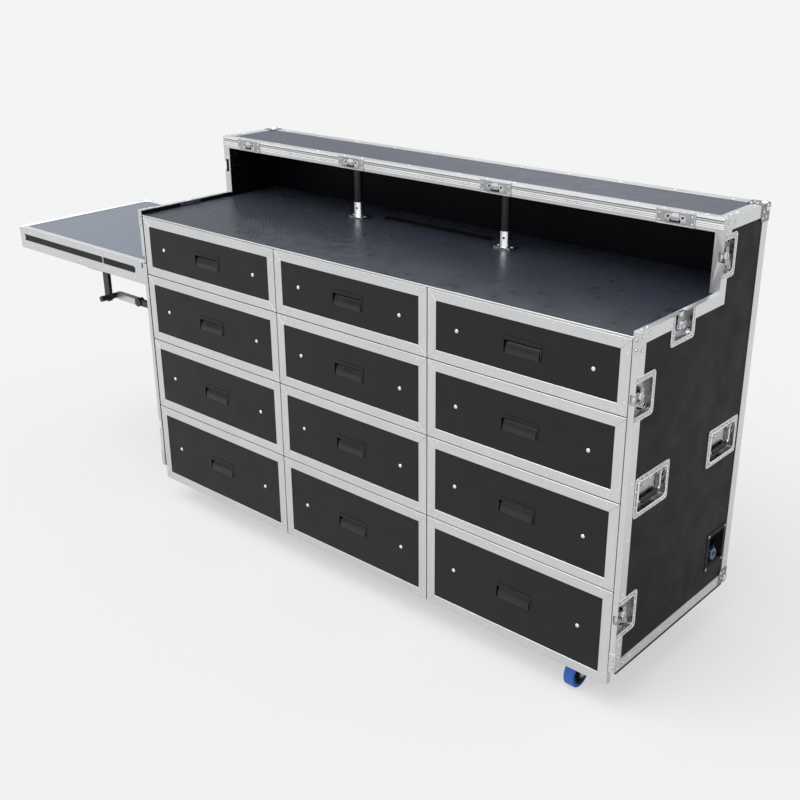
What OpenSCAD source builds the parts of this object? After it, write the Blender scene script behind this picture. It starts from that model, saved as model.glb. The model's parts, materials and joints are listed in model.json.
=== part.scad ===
// Road case with twelve drawers, a raised rear part and a folding side table

/* [Drawer fronts] */
// Width of the left column of drawers
column_left_w = 620; // [480:5:760]
// Width of the middle column of drawers
column_middle_w = 580; // [480:5:760]
// Width of the right column of drawers
column_right_w = 600; // [480:5:760]
// Height of the top row of drawers
row_1_h = 192; // [150:1:240]
// Height of the second row of drawers
row_2_h = 222; // [150:1:280]
// Height of the third row of drawers
row_3_h = 242; // [150:1:300]
// Height of the bottom row of drawers
row_4_h = 275; // [220:1:320]
// Gap between neighbouring fronts
front_gap = 3; // [2:0.5:5]
// Width of the metal frame seen from the front
frame_w = 28; // [22:1:34]
// Thickness of the frame's metal
frame_t = 1.5; // [1:0.1:2]
// How far the frame reaches back round the edge of the front
frame_return = 18; // [15:0.5:19]
// Thickness of the front panels
front_t = 12; // [9:0.5:14]
// Distance of a front bolt from the side of its front
bolt_in = 96; // [60:1:140]
// Diameter of a front bolt's head
bolt_d = 11; // [8:0.5:14]
// Height of a front bolt's head
bolt_h = 4; // [3:0.1:4.1]

/* [Drawer boxes] */
// Room behind the drawer boxes, for the power inlet and the wiring
box_rear_in = 150.5; // [148.5:0.5:230.5]
// Thickness of a box's side and rear boards
box_t = 12; // [9:0.5:15]
// Thickness of a box's bottom
box_floor_t = 6; // [4:0.5:9]
// Height of a box above the bottom of its front
box_low = 20; // [16:1:30]
// Height of a front above its box
box_high = 20; // [12:1:30]
// Clearance of a box below the worktop and above the base
box_clear = 6; // [3:1:12]
// Space taken by a runner at each side of a box
runner_t = 12.7; // [12:0.1:14]
// Height of a fixed runner
runner_h = 45; // [36:1:50]
// Height of the runners above the bottom of their box
runner_up = 40; // [30:1:50]
// Thickness of the runners' metal
runner_wall = 1.2; // [1:0.1:2]

/* [Pulls] */
// Width of a drawer's recessed pull
pull_w = 116; // [90:1:140]
// Height of a drawer's recessed pull
pull_h = 48; // [40:1:60]
// Depth of the pull's cup behind the front panel's face
pull_d = 24; // [18:1:30]
// Wall of the pull's cup
pull_t = 2; // [1.5:0.1:3]
// Width of the pull's rim
pull_rim = 3; // [2:0.5:5]
// Height of the lip that the fingers hook behind
pull_lip = 8; // [5:0.5:10]

/* [Case] */
// Depth of the case
case_d = 594; // [585:1:700]
// Depth of the worktop in front of the raised part
worktop_d = 368; // [320:1:380]
// Height of the raised part above the worktop
riser_h = 198; // [180:1:300]
// Height of the sides above the worktop
side_rise = 12; // [6:1:20]
// Thickness of the side panels
side_t = 14; // [13:0.5:18]
// Gap between the fronts and the side panels
side_gap = 1.5; // [1:0.5:3]
// Thickness of the back, top and worktop boards
board_t = 12; // [9:1:15]
// Thickness of the base board
base_t = 18; // [15:1:22]
// Thickness of the upright boards between the columns
divider_t = 15; // [12:1:18]
// Distance of the uprights behind the faces of the fronts
divider_in = 20; // [20:0.5:24]
// How far the base board lies inside the faces of the sides
base_inset = 4.5; // [3:0.5:8]
// How far the base board lies behind the faces of the fronts
base_front_in = 22; // [20:1:30]
// How far the base board lies inside the back
base_rear_in = 6; // [3:1:10]
// How far the fronts reach below the base board
front_low = 28; // [15:1:28]
// Thickness of the anti-slip mat
mat_t = 3; // [2:0.5:4]

/* [Metal edges] */
// Width of the edge angles
edge_w = 30; // [25:1:34]
// Thickness of the edge angles
edge_t = 1.5; // [1:0.1:2]
// Width of the edge strip at the front of the raised part
riser_edge_w = 27; // [20:1:30]
// Height of the tongue strip along the top's front edge
tongue_h = 36; // [30:1:40]
// Depth of the tongue strip's legs
tongue_d = 24; // [18:1:30]
// Thickness of the tongue strip's metal
tongue_t = 1.8; // [1.5:0.1:2.5]
// Height of the groove in the tongue strip
groove_h = 9; // [6:0.5:11]
// Depth of the groove in the tongue strip
groove_d = 5; // [3:0.5:7]
// Thickness of the lip along the worktop's front edge
lip_t = 1.5; // [1:0.1:2]

/* [Corner hardware] */
// Radius of a ball corner
ball_r = 15; // [12:0.5:20]
// How far a ball stands out of the case
ball_out = 6; // [4:0.5:8]
// Length of a ball corner's leaves
leaf_l = 46; // [36:1:60]
// Radius at a leaf's free corner
leaf_r = 12; // [6:1:18]
// Thickness of the leaves and braces
leaf_t = 1.2; // [1:0.1:1.5]
// Length of a brace's arms
brace_l = 56; // [45:1:70]
// Width of a brace's arms
brace_w = 28; // [22:1:30]

/* [Latches] */
// Length of a latch dish along the edge
latch_l = 112; // [100:1:125]
// Depth of the front latch dishes from the edge
latch_front_in = 85; // [75:1:95]
// Depth of the step's latch dishes from the edge
latch_step_in = 75; // [70:1:85]
// Depth of the riser's latch dishes from the edge
latch_riser_in = 64; // [62:1:80]
// Width of the rim beside a latch's pan
latch_rim = 14; // [10:1:16]
// Depth of a latch's pan behind its rim
latch_pan_d = 12.5; // [11:0.5:12.5]
// Thickness of the dishes' metal
dish_t = 1.2; // [1:0.1:1.5]
// Radius at the dishes' corners
dish_r = 10; // [6:1:12]
// Height of the upper front latches above the floor
latch_upper_z = 865; // [840:1:880]
// Height of the lower front latches above the floor
latch_lower_z = 280; // [260:1:330]
// Distance of the step's latches behind the fronts
latch_step_y = 198; // [150:1:230]
// Height of the riser's latches above the worktop
latch_riser_up = 104; // [90:1:108]
// Diameter of a latch's boss
key_boss_d = 20; // [18:1:24]
// Span of a latch's butterfly wings
key_span = 44; // [38:1:45]
// Width of a latch's wings
key_wing_w = 16; // [12:1:18]
// Diameter of the rivet that a latch turns on
key_pin_d = 6; // [5:0.5:7]
// Width of a latch's claw
claw_w = 22; // [18:1:26]
// Thickness of a latch's claw
claw_t = 2.5; // [2:0.1:3]
// Width of the flat keepers on the top's front edge
keeper_w = 108; // [90:1:120]

/* [Handles] */
// Width of a handle's dish
handle_w = 160; // [150:1:161]
// Height of a handle's dish
handle_h = 108; // [100:1:120]
// Width of the rim round a handle's pan
handle_rim = 14; // [12:1:16]
// Height of the handles above the floor
handle_z = 602; // [500:1:650]
// Distance of the front handle's middle behind the fronts
handle_front_y = 112; // [111:1:130]
// Distance of the rear handle's middle inside the back
handle_rear_in = 121; // [120:1:154]
// Diameter of a bail's wire
bail_d = 6; // [5:0.5:6]
// Diameter of a bail's grip
grip_d = 11; // [9:0.5:11]
// Length of a bail's grip
grip_l = 80; // [60:1:84]
// Distance from a bail's hinge to its grip
bail_l = 48; // [44:1:52]
// Thickness of the ears that carry a bail
ear_t = 5; // [4:0.5:5.5]

/* [Worktop fittings] */
// Distance of the left post from the case's middle
post_left_x = 345; // [250:1:450]
// Distance of the right post from the case's middle
post_right_x = 228; // [150:1:450]
// Distance of the posts behind the front of the raised part
post_in = 57; // [47:1:67]
// Diameter of a post
post_d = 27; // [20:1:32]
// Wall of a post's tube
post_wall = 2; // [1.5:0.5:3]
// Height of the sleeve round a post's foot
sleeve_h = 50; // [35:1:70]
// Wall of the sleeve round a post's foot
sleeve_wall = 2; // [1.5:0.5:3]
// Width of a post's foot plate
foot_plate_w = 60; // [50:1:70]
// Depth of a post's foot plate
foot_plate_d = 40; // [38:1:46]
// Thickness of a post's foot plate
foot_plate_t = 5; // [3:0.5:6]
// Height of the collar at a post's upper end
collar_h = 14; // [8:1:20]
// Distance of the cable slot's left end inside the middle column
slot_left_in = 6; // [-120:1:74]
// Length of the cable slot
slot_l = 408; // [300:1:480]
// Width of the cable slot
slot_w = 14; // [10:1:20]
// Distance of the cable slot inside the back
slot_rear_in = 116; // [74:1:124]
// Width of the cable slot's rim
slot_rim = 4; // [3:0.5:6]
// Thickness of the cable slot's rim
slot_t = 1.5; // [1:0.1:2]

/* [Power inlet] */
// Width of the inlet's plate
inlet_w = 105; // [100:1:108]
// Height of the inlet's plate
inlet_h = 117; // [110:1:125]
// Distance of the inlet's middle inside the back
inlet_rear_in = 86; // [85:1:89]
// Height of the inlet's middle above the floor
inlet_z = 266; // [240:1:300]
// Rim round the inlet's recess
inlet_rim = 13; // [10:1:16]
// Depth of the inlet's recess
inlet_d = 30; // [26:1:36]
// Depth of the closed housing behind the recess
inlet_back = 30; // [20:1:40]
// Diameter of the round connector
connector_d = 26; // [22:1:30]
// Distance of the connector below the recess's middle
connector_low = 22; // [18:1:26]

/* [Castors] */
// Height of the castors with their plates
castor_h = 108; // [104:1:120]
// Diameter of a wheel
wheel_d = 80; // [74:1:82]
// Width of a wheel
wheel_w = 30; // [25:1:34]
// Thickness of a wheel's tread
tread_t = 9; // [6:1:12]
// Diameter of a wheel's axle
axle_d = 8; // [7:0.5:10]
// Distance of a wheel's axle behind the swivel
trail = 36; // [30:1:38]
// Length of a castor's plate
castor_plate_l = 100; // [90:1:110]
// Depth of a castor's plate
castor_plate_w = 85; // [75:1:95]
// Thickness of a castor's plate
castor_plate_t = 3; // [2.5:0.5:4]
// Diameter of the swivel's race
race_d = 58; // [50:1:62]
// Height of the upper race
race_h = 8; // [6:0.5:9]
// Diameter of the swivel's pin
kingpin_d = 12; // [10:0.5:14]
// Thickness of a fork's metal
fork_t = 3; // [2.5:0.1:4]
// Distance of the castors inside the outer drawers' sides
castor_in = 121; // [100:1:200]
// Distance of the front swivels behind the fronts
castor_front_y = 85; // [80:1:110]
// Distance of the rear swivels inside the back
castor_rear_in = 85; // [80:1:110]

/* [Side table] */
// Length of the table
table_l = 765; // [600:1:765]
// Distance of the table's rear edge inside the back
table_rear_in = 0; // [0:1:76]
// Thickness of the table
table_t = 78; // [74:1:84]
// Height of the table's top above the floor
table_z = 847.5; // [830:0.5:880]
// Distance of the table's front edge behind the fronts
table_y = 18; // [10:1:18]
// Thickness of the table's top panel
table_top_t = 9; // [6:1:12]
// Thickness of the table's walls
table_wall = 12; // [9:1:12]
// Height of the table's upper edge angle
table_rail_h = 24; // [18:1:28]
// Height of the table's lower edge angle
table_rail_low_h = 31; // [24:1:32]
// Width of the upper edge angle on the table's top
table_rail_w = 20; // [15:1:26]
// Gap between the hinge axis and the side of the case
hinge_out = 48.5; // [48:0.5:60]
// Distance of the hinge axis inside the table's end
hinge_in = 24.5; // [24:0.5:26]
// Distance of the front hinge behind the fronts
hinge_front_y = 160; // [150:1:200]
// Distance of the rear hinge inside the back
hinge_rear_in = 94; // [54:1:194]
// Diameter of the hinge pins
hinge_pin_d = 10; // [8:0.5:12]
// Width of a hinge's wall plate
hinge_plate_w = 44; // [36:1:56]
// Height of a hinge's wall plate
hinge_plate_h = 56; // [46:1:70]
// Thickness of the wall plates
hinge_plate_t = 4; // [3:0.5:4]
// Thickness of a hinge's lug
lug_t = 10; // [8:0.5:12]
// Radius of a hinge's lug
lug_r = 12; // [10:0.5:12]
// Thickness of the ears on the table
table_ear_t = 6; // [5:0.5:8]

/* [Table stay] */
// Distance between the stay's two pivots on the table
stay_l = 277; // [240:1:300]
// Height of the stay's arm between its pivots
stay_h = 153; // [140:1:165]
// Distance of the arm behind the fronts
arm_y = 60.5; // [58:0.5:66]
// Thickness of the arm
arm_t = 12; // [8:0.5:14]
// Width of the arm
arm_w = 30; // [24:1:32]
// Distance of the foot bar's front end behind the fronts
foot_y = 33; // [32.5:0.5:40]
// Diameter of the foot bar
foot_d = 20; // [16:0.5:24]
// Distance of the strut's middle behind the fronts
strut_y = 104; // [100:0.5:110]
// Outer size of the strut's square tube
strut_tube = 22; // [18:1:24]
// Wall of the strut's square tube
strut_wall = 2; // [1.5:0.1:3]
// Length of the strut's square tube
strut_tube_l = 105; // [80:1:130]
// Diameter of the strut's knuckle
knuckle_d = 30; // [26:1:34]
// Diameter of the stay's pins
stay_pin_d = 10; // [8:0.5:12]
// Length of the stay's plate under the table
stay_plate_l = 80; // [60:1:100]
// Thickness of the stay's plate under the table
stay_plate_t = 3; // [2:0.5:4]
// Thickness of the stay's ear on the table
stay_ear_t = 8; // [6:0.5:10]

/* [Hidden] */
$fn = 32;
run_gap = 0.1;    // radial clearance of a pin in its bore
clear_gap = 0.3;  // clearance between faces that move past each other
seam = 0.2;       // joint between two pieces that seat on each other
past = 1;         // how far a cutting shape runs past what it cuts

front_z = castor_h - front_low;
column_w = [column_left_w, column_middle_w, column_right_w];
half_w = (column_left_w + column_middle_w + column_right_w) / 2;
column_x = [-half_w, -half_w + column_left_w, half_w - column_right_w];
row_h = [row_1_h, row_2_h, row_3_h, row_4_h];
row_z = [front_z + row_4_h + row_3_h + row_2_h, front_z + row_4_h + row_3_h, front_z + row_4_h, front_z];
stack_top = row_z[0] + row_1_h;
work_z = stack_top + lip_t + mat_t;
ply_z = work_z - mat_t - board_t;
step_z = work_z + side_rise;
top_z = work_z + riser_h;
base_top = castor_h + base_t;
side_in = half_w + side_gap;
side_out = side_in + side_t;
skin = side_out + edge_t;
rear_in = case_d - board_t;
rear_skin = case_d + edge_t;
top_skin = top_z + edge_t;
base_x = side_out - base_inset;
base_rear = case_d - base_rear_in;

front_back = frame_t + front_t;
box_rear = case_d - box_rear_in;
box_d = box_rear - front_back;       // depth of the drawer boxes
wall_left = [-side_in, column_x[1] + divider_t / 2, column_x[2] + divider_t / 2];
wall_right = [column_x[1] - divider_t / 2, column_x[2] - divider_t / 2, side_in];
box_z = [row_z[0] + box_low, row_z[1] + box_low, row_z[2] + box_low, base_top + box_clear];
box_top = [ply_z - box_clear, row_z[1] + row_2_h - box_high, row_z[2] + row_3_h - box_high,
    row_z[3] + row_4_h - box_high];
runner_lip = runner_t - 3.2;         // depth of a fixed runner's flanges
member_in = runner_wall + 1.5;       // distance of a box's runner from the wall
member_h = runner_h - 2 * runner_wall - 2 * clear_gap;

latch_in = [latch_front_in, latch_front_in, latch_step_in, latch_riser_in];
latch_place = [[0, latch_upper_z, 0], [0, latch_lower_z, 0], [latch_step_y, step_z, -90],
    [worktop_d, work_z + latch_riser_up, 0]];
latch_pan_l = latch_l - 2 * latch_rim;
key_low = -latch_pan_d + dish_t + seam + claw_t + clear_gap;
key_high = -1.6;                     // top of a key, below the face of its side panel
function latch_pan_in(k) = latch_in[k] - latch_rim + 2;
function latch_axis_in(k) = latch_pan_in(k) / 2 + 2;

handle_pan_w = handle_w - 2 * handle_rim;
handle_pan_h = handle_h - 2 * handle_rim;
handle_y = [handle_front_y, case_d - handle_rear_in];
keeper_x = [-half_w + 113, -318, 233, half_w - 117];   // middles of the keepers on the top's front edge
post_y = worktop_d + post_in;
slot_x0 = column_x[1] + slot_left_in;
slot_y = case_d - slot_rear_in;
inlet_y = case_d - inlet_rear_in;
bail_x = (side_in + dish_t + skin) / 2;
bail_up = handle_pan_h / 2 - 12;     // height of a bail's hinge above its dish's middle
bail_half = handle_pan_w / 2 - ear_t - 9.5;
bail_bend = 8;
bail_corner = 10;

axle_z = wheel_d / 2;
castor_top = castor_h - castor_plate_t;
race_z = castor_top - race_h;
fork_top = race_z - clear_gap;
fork_crown = fork_top - 5;           // underside of the lower race
castor_rear_y = case_d - castor_rear_in;
castor_x = half_w - castor_in;
hub_w = wheel_w + 2;

hinge_x = -(skin + hinge_out);
hinge_z = table_z - table_t / 2;
table_x1 = hinge_x + hinge_in;
table_x0 = table_x1 - table_l;
table_y1 = case_d - table_rear_in;
table_w = table_y1 - table_y;
table_low = table_z - table_t;
table_panel = table_z - edge_t - table_top_t;   // underside of the top panel
hinge_y = [hinge_front_y, case_d - hinge_rear_in];
stay_a = [hinge_x - stay_l, hinge_z];
stay_b = [hinge_x - stay_l, hinge_z - stay_h];
stay_c = [hinge_x, hinge_z - stay_h];
stay_ear_y = arm_y - clear_gap - stay_ear_t;
strut_half = strut_tube / 2;
strut_y0 = strut_y - strut_half;
strut_y1 = strut_y + strut_half;
knuckle_x = stay_b[0] + strut_half + strut_tube_l + knuckle_d / 2;

shift_x = -(table_x0 - ball_out + skin + ball_out) / 2;
shift_y = -(rear_skin + ball_out - edge_t - leaf_t) / 2;

column_names = ["left", "middle", "right"];
latch_names = ["upper", "lower", "step", "riser"];
side_names = ["right", "left"];
end_names = ["front", "rear"];
function drawer_node(c, r, kind) = str("drawer_", column_names[c], "_", r + 1, "_", kind);
function latch_node(s, k) = str("latch_", side_names[s], "_", latch_names[k]);
function castor_node(e, s, kind) = str("castor_", end_names[e], "_", side_names[s], "_", kind);

// Moves the case from its own corner frame to the middle of the whole object
module placed() translate([shift_x, shift_y, 0]) children();

// A block between two values on each axis
module block(x, y, z) translate([x[0], y[0], z[0]]) cube([x[1] - x[0], y[1] - y[0], z[1] - z[0]]);

// A flat shape drawn with depth and height, made a plate across the case
module plate_x(x) translate([x[0], 0, 0]) rotate([90, 0, 90]) linear_extrude(x[1] - x[0]) children();

// A flat shape drawn with width and height, made a plate facing the front
module plate_y(y) translate([0, y[1], 0]) rotate([90, 0, 0]) linear_extrude(y[1] - y[0]) children();

// A flat shape drawn in plan, made a plate lying flat
module plate_z(z) translate([0, 0, z[0]]) linear_extrude(z[1] - z[0]) children();

// A round bar along the depth of the case
module rod_y(x, z, y, d) translate([x, y[0], z]) rotate([-90, 0, 0]) cylinder(d = d, h = y[1] - y[0]);

// A rectangle with round corners about its middle
module rounded(w, h, r) {
    square([w - 2 * r, h], center = true);
    square([w, h - 2 * r], center = true);
    for (x = [-1, 1]) for (y = [-1, 1]) translate([x * (w / 2 - r), y * (h / 2 - r)]) circle(r);
}

// The same piece on the right side and mirrored on the left side
module both_sides() {
    children();
    mirror([1, 0, 0]) children();
}

// One mitred side of a rectangle, as the outline of a strip
function mitred(w, h, leg, k) =
    k == 0 ? [[0, 0], [w, 0], [w - leg, leg], [leg, leg]] :
    k == 1 ? [[0, h], [leg, h - leg], [w - leg, h - leg], [w, h]] :
    k == 2 ? [[0, seam], [leg, leg + seam], [leg, h - leg - seam], [0, h - seam]] :
    [[w, seam], [w, h - seam], [w - leg, h - leg - seam], [w - leg, leg + seam]];

// Case panels

module at_latch(k) translate([side_out, latch_place[k][0], latch_place[k][1]])
    rotate([latch_place[k][2], 0, 0]) children();

// Outline of a recess that is open at the edge, with two round inner corners
module open_dish(l, inward, r) {
    translate([-past, -l / 2]) square([inward - r + past, l]);
    translate([-past, -l / 2 + r]) square([inward + past, l - 2 * r]);
    for (s = [-1, 1]) translate([inward - r, s * (l / 2 - r)]) circle(r);
}

module side_panel() difference() {
    plate_x([side_in, side_out]) polygon([[0, base_top], [case_d, base_top], [case_d, top_z],
        [worktop_d, top_z], [worktop_d, step_z], [0, step_z]]);
    for (k = [0:3]) at_latch(k) plate_x([-side_t - past, past])
        open_dish(latch_pan_l + 2 * dish_t, latch_pan_in(k) + dish_t, dish_r + dish_t);
}

module side_panels() color("#2d2e31") {
    difference() {
        side_panel();
        for (y = handle_y) translate([0, y, handle_z]) plate_x([side_in - past, side_out + past])
            rounded(handle_pan_w + 2 * dish_t, handle_pan_h + 2 * dish_t, dish_r + dish_t);
        translate([0, inlet_y, inlet_z]) plate_x([side_in - past, side_out + past])
            square([inlet_w - 2 * inlet_rim + 2 * dish_t, inlet_h - 2 * inlet_rim + 2 * dish_t], center = true);
    }
    mirror([1, 0, 0]) side_panel();
}

module carcass_panels() color("#26272a") {
    block([-base_x, base_x], [base_front_in, base_rear], [castor_h, base_top]);
    block([-side_in, side_in], [rear_in, case_d], [base_top + seam, top_z]);
    block([-side_in, side_in], [worktop_d + groove_d, rear_in - seam], [top_z - board_t, top_z]);
    for (c = [1:2]) block([column_x[c] - divider_t / 2, column_x[c] + divider_t / 2],
        [divider_in, rear_in - seam], [base_top + seam, ply_z]);
}

module slot_cut() block([slot_x0 - slot_t, slot_x0 + slot_l + slot_t],
    [slot_y - slot_w / 2 - slot_t, slot_y + slot_w / 2 + slot_t], [ply_z - past, work_z + past]);

module worktop() color("#3a3f48") {
    difference() {
        block([-side_in, side_in], [divider_in, rear_in], [ply_z, work_z - mat_t - seam]);
        slot_cut();
    }
    difference() {
        block([-side_in, side_in], [lip_t, rear_in], [work_z - mat_t, work_z]);
        slot_cut();
    }
}

// Metal edges

// Space that a latch's dish needs in the outer leg of an edge angle
module latch_room(k) at_latch(k) plate_x([-seam, edge_t + past]) open_dish(latch_l, latch_in[k], dish_r);

// Notch that lets a latch's claw through the other leg
module claw_room(k) at_latch(k) block([-latch_pan_d + dish_t, past + edge_t], [-edge_t - past, past],
    [-claw_w / 2 - 2, claw_w / 2 + 2]);

module side_edges() {
    low = base_top + seam;
    // front upright
    difference() {
        union() {
            block([side_out, skin], [0, edge_w], [low, step_z - seam]);
            block([side_in, skin], [-edge_t, 0], [low, step_z - seam]);
        }
        for (k = [0:1]) latch_room(k);
        for (k = [0:1]) claw_room(k);
    }
    // step
    difference() {
        union() {
            block([side_out, skin], [edge_w + seam, worktop_d], [step_z - edge_w, step_z]);
            block([side_in, skin], [-edge_t, worktop_d - edge_t - seam], [step_z, step_z + edge_t]);
        }
        latch_room(2);
        claw_room(2);
    }
    // front of the raised part
    difference() {
        union() {
            block([side_out, skin], [worktop_d + seam, worktop_d + edge_w], [step_z - edge_w, top_z - seam]);
            block([skin - riser_edge_w, skin], [worktop_d - edge_t, worktop_d + seam], [step_z + seam, top_z - seam]);
        }
        latch_room(3);
        claw_room(3);
        block([skin - riser_edge_w - past, side_out], [worktop_d, worktop_d + edge_w], [step_z - past, top_z]);
    }
    // top
    union() {
        block([side_out, skin], [worktop_d + edge_w + seam, case_d - edge_w - seam], [top_z - edge_w, top_z]);
        block([skin - riser_edge_w, skin], [worktop_d - edge_t, worktop_d + tongue_d], [top_z, top_skin]);
        block([skin - edge_w, skin], [worktop_d + tongue_d, rear_skin], [top_z, top_skin]);
    }
    // rear upright
    block([side_out, skin], [case_d - edge_w, case_d], [low, top_z - seam]);
    block([skin - edge_w, skin], [case_d, rear_skin], [low, top_z - seam]);
    // bottom
    block([side_out, skin], [edge_w + seam, case_d - edge_w - seam], [base_top, base_top + edge_w]);
    block([base_x + clear_gap, skin], [0, case_d], [base_top - edge_t, base_top]);
}

module tongue_profile() {
    foot_z = top_skin - tongue_h;
    groove_z = foot_z + (tongue_h - groove_h) / 2;
    y = worktop_d - edge_t;
    translate([y, top_z]) square([tongue_d + edge_t - seam, edge_t]);
    translate([y, groove_z + groove_h]) square([tongue_t, top_z - groove_z - groove_h]);
    translate([y, groove_z + groove_h]) square([groove_d, tongue_t]);
    translate([y + groove_d - tongue_t, groove_z - tongue_t]) square([tongue_t, groove_h + 2 * tongue_t]);
    translate([y, groove_z - tongue_t]) square([groove_d, tongue_t]);
    translate([y, foot_z]) square([tongue_t, groove_z - foot_z]);
    translate([y, foot_z]) square([tongue_d, tongue_t]);
}

module edge_extrusions() color("#d2d3d3") {
    both_sides() side_edges();
    inner = skin - riser_edge_w - seam;
    difference() {
        plate_x([-inner, inner]) tongue_profile();
        block([-inner - past, inner + past], [worktop_d + groove_d, rear_in], [top_z - board_t, top_z]);
    }
    // rear of the top and of the base
    rear = skin - edge_w - seam;
    block([-rear, rear], [case_d, rear_skin], [top_z - edge_w, top_z]);
    block([-rear, rear], [case_d - edge_w, rear_skin], [top_z, top_skin]);
    block([-rear, rear], [case_d, rear_skin], [base_top, base_top + edge_w]);
    block([-base_x, base_x], [base_rear + clear_gap, rear_skin], [base_top - edge_t, base_top]);
}

// The lip along the worktop's front edge, and the strip under it that covers the board's edge
module worktop_lip() color("#d2d3d3") {
    lip_x = side_in - seam;
    block([-lip_x, lip_x], [0, divider_in], [stack_top, stack_top + lip_t]);
    block([-lip_x, lip_x], [0, lip_t], [stack_top, work_z]);
    block([-lip_x, lip_x], [divider_in - lip_t, divider_in], [ply_z, stack_top - seam]);
}

// Corner hardware

// A leaf of a ball corner on the top face of a corner at the origin
module leaf() plate_z([0, leaf_t]) translate([leaf_t, leaf_t]) rotate(180) {
    square([leaf_l, leaf_l - leaf_r]);
    square([leaf_l - leaf_r, leaf_l]);
    translate([leaf_l - leaf_r, leaf_l - leaf_r]) circle(leaf_r);
}

// A ball corner outside the faces that meet at the origin, with or without a leaf on the third face
module ball_corner(third) difference() {
    inset = ball_r - ball_out;
    union() {
        translate([-inset, -inset, -inset]) sphere(ball_r);
        rotate([90, 0, 90]) leaf();
        rotate([90, 0, 90]) rotate([90, 0, 90]) leaf();
        if (third) leaf();
    }
    translate([-2 * leaf_l, -2 * leaf_l, -2 * leaf_l]) cube(2 * leaf_l);
}

module side_braces() {
    front = -edge_t - leaf_t;
    step_top = step_z + edge_t;
    // bottom of the front
    plate_x([skin, skin + leaf_t]) translate([front, base_top]) {
        square([brace_l, brace_w]);
        square([brace_w, brace_l]);
    }
    block([side_in, skin + leaf_t], [front, -edge_t], [base_top, base_top + brace_l]);
    // front of the step
    plate_x([skin, skin + leaf_t]) translate([front, step_top + leaf_t]) mirror([0, 1]) {
        square([brace_l, brace_w]);
        square([brace_w, brace_l]);
    }
    block([side_in, skin + leaf_t], [front, -edge_t], [step_top + leaf_t - brace_l, step_top + leaf_t]);
    block([side_in, skin + leaf_t], [front, brace_l], [step_top, step_top + leaf_t]);
    // front of the top
    plate_x([skin, skin + leaf_t]) translate([worktop_d - edge_t, top_skin + leaf_t]) mirror([0, 1]) {
        square([brace_l, brace_w]);
        square([brace_w, brace_w + leaf_r]);
    }
    block([skin - riser_edge_w, skin + leaf_t], [worktop_d - edge_t, worktop_d + brace_l],
        [top_skin, top_skin + leaf_t]);
}

module corner_hardware() color("#c6c8ca") {
    both_sides() {
        translate([skin, rear_skin, top_skin]) ball_corner(true);
        difference() {
            translate([skin, rear_skin, base_top - edge_t]) mirror([0, 0, 1]) ball_corner(false);
            block([0, base_x + clear_gap], [base_front_in, base_rear + clear_gap], [castor_h - past, base_top]);
        }
        side_braces();
    }
}

// Latches

// A dish with its pan, and the rivet that its key turns on
module latch_dish(k) {
    axis_in = latch_axis_in(k);
    difference() {
        plate_x([0, edge_t]) intersection() {
            open_dish(latch_l, latch_in[k], dish_r);
            translate([0, -latch_l]) square(2 * latch_l);
        }
        plate_x([-past, edge_t + past]) open_dish(latch_pan_l, latch_pan_in(k), dish_r);
    }
    difference() {
        plate_x([-latch_pan_d, 0]) intersection() {
            open_dish(latch_pan_l + 2 * dish_t, latch_pan_in(k) + dish_t, dish_r + dish_t);
            translate([0, -latch_l]) square(2 * latch_l);
        }
        plate_x([-latch_pan_d + dish_t, past]) open_dish(latch_pan_l, latch_pan_in(k), dish_r);
    }
    translate([-latch_pan_d, axis_in, 0]) rotate([0, 90, 0]) cylinder(d = key_pin_d, h = latch_pan_d);
    translate([key_high + clear_gap, axis_in, 0]) rotate([0, 90, 0]) cylinder(d = key_pin_d + 5, h = 1.2);
}

// The claw, drawn back into its dish
module latch_claw(k) difference() {
    low = -latch_pan_d + dish_t + seam;
    union() {
        block([low, low + claw_t], [1, latch_axis_in(k) + key_pin_d + 4], [-claw_w / 2, claw_w / 2]);
        block([low, low + 2 * claw_t], [1, 1 + claw_t], [-claw_w / 2, claw_w / 2]);
    }
    plate_x([low - past, low + claw_t + past]) translate([latch_axis_in(k), 0]) {
        circle(d = key_pin_d + 1);
        translate([-7, 0]) circle(d = key_pin_d + 1);
        translate([-7, -key_pin_d / 2 - 0.5]) square([7, key_pin_d + 1]);
    }
}

// The butterfly key of a latch
module latch_key(s, k) color("#b9bcbf") mirror([s, 0, 0]) at_latch(k) translate([0, latch_axis_in(k), 0])
difference() {
    union() {
        translate([key_low, 0, 0]) rotate([0, 90, 0]) cylinder(d = key_boss_d, h = key_high - key_low);
        plate_x([key_low + 2, key_high - 1]) for (t = [-1, 1]) {
            translate([0, t * (key_span - key_wing_w) / 2]) circle(d = key_wing_w);
            translate([-key_wing_w / 3, min(0, t * (key_span - key_wing_w) / 2)])
                square([key_wing_w / 1.5, (key_span - key_wing_w) / 2]);
        }
        for (t = [-1, 1]) for (y = [-1, 1])
            block([key_low + 2, key_high], [y * key_wing_w / 5 - 0.8, y * key_wing_w / 5 + 0.8],
                [t > 0 ? key_boss_d / 2 - 1 : 1.5 - key_span / 2, t > 0 ? key_span / 2 - 1.5 : 1 - key_boss_d / 2]);
    }
    translate([key_low - past, 0, 0]) rotate([0, 90, 0])
        cylinder(d = key_pin_d + 2 * run_gap, h = key_high - key_low + 2 * past);
}

// A flat keeper on the front of the tongue strip, with its catch
module keeper(x) {
    front = worktop_d - edge_t;
    block([x - keeper_w / 2, x + keeper_w / 2], [front - edge_t, front], [top_skin - tongue_h, top_skin]);
    block([x - claw_w / 2, x + claw_w / 2], [front - edge_t - claw_t, front],
        [top_skin - tongue_h / 2 - claw_w / 4, top_skin - tongue_h / 4]);
}

// Handles

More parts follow.
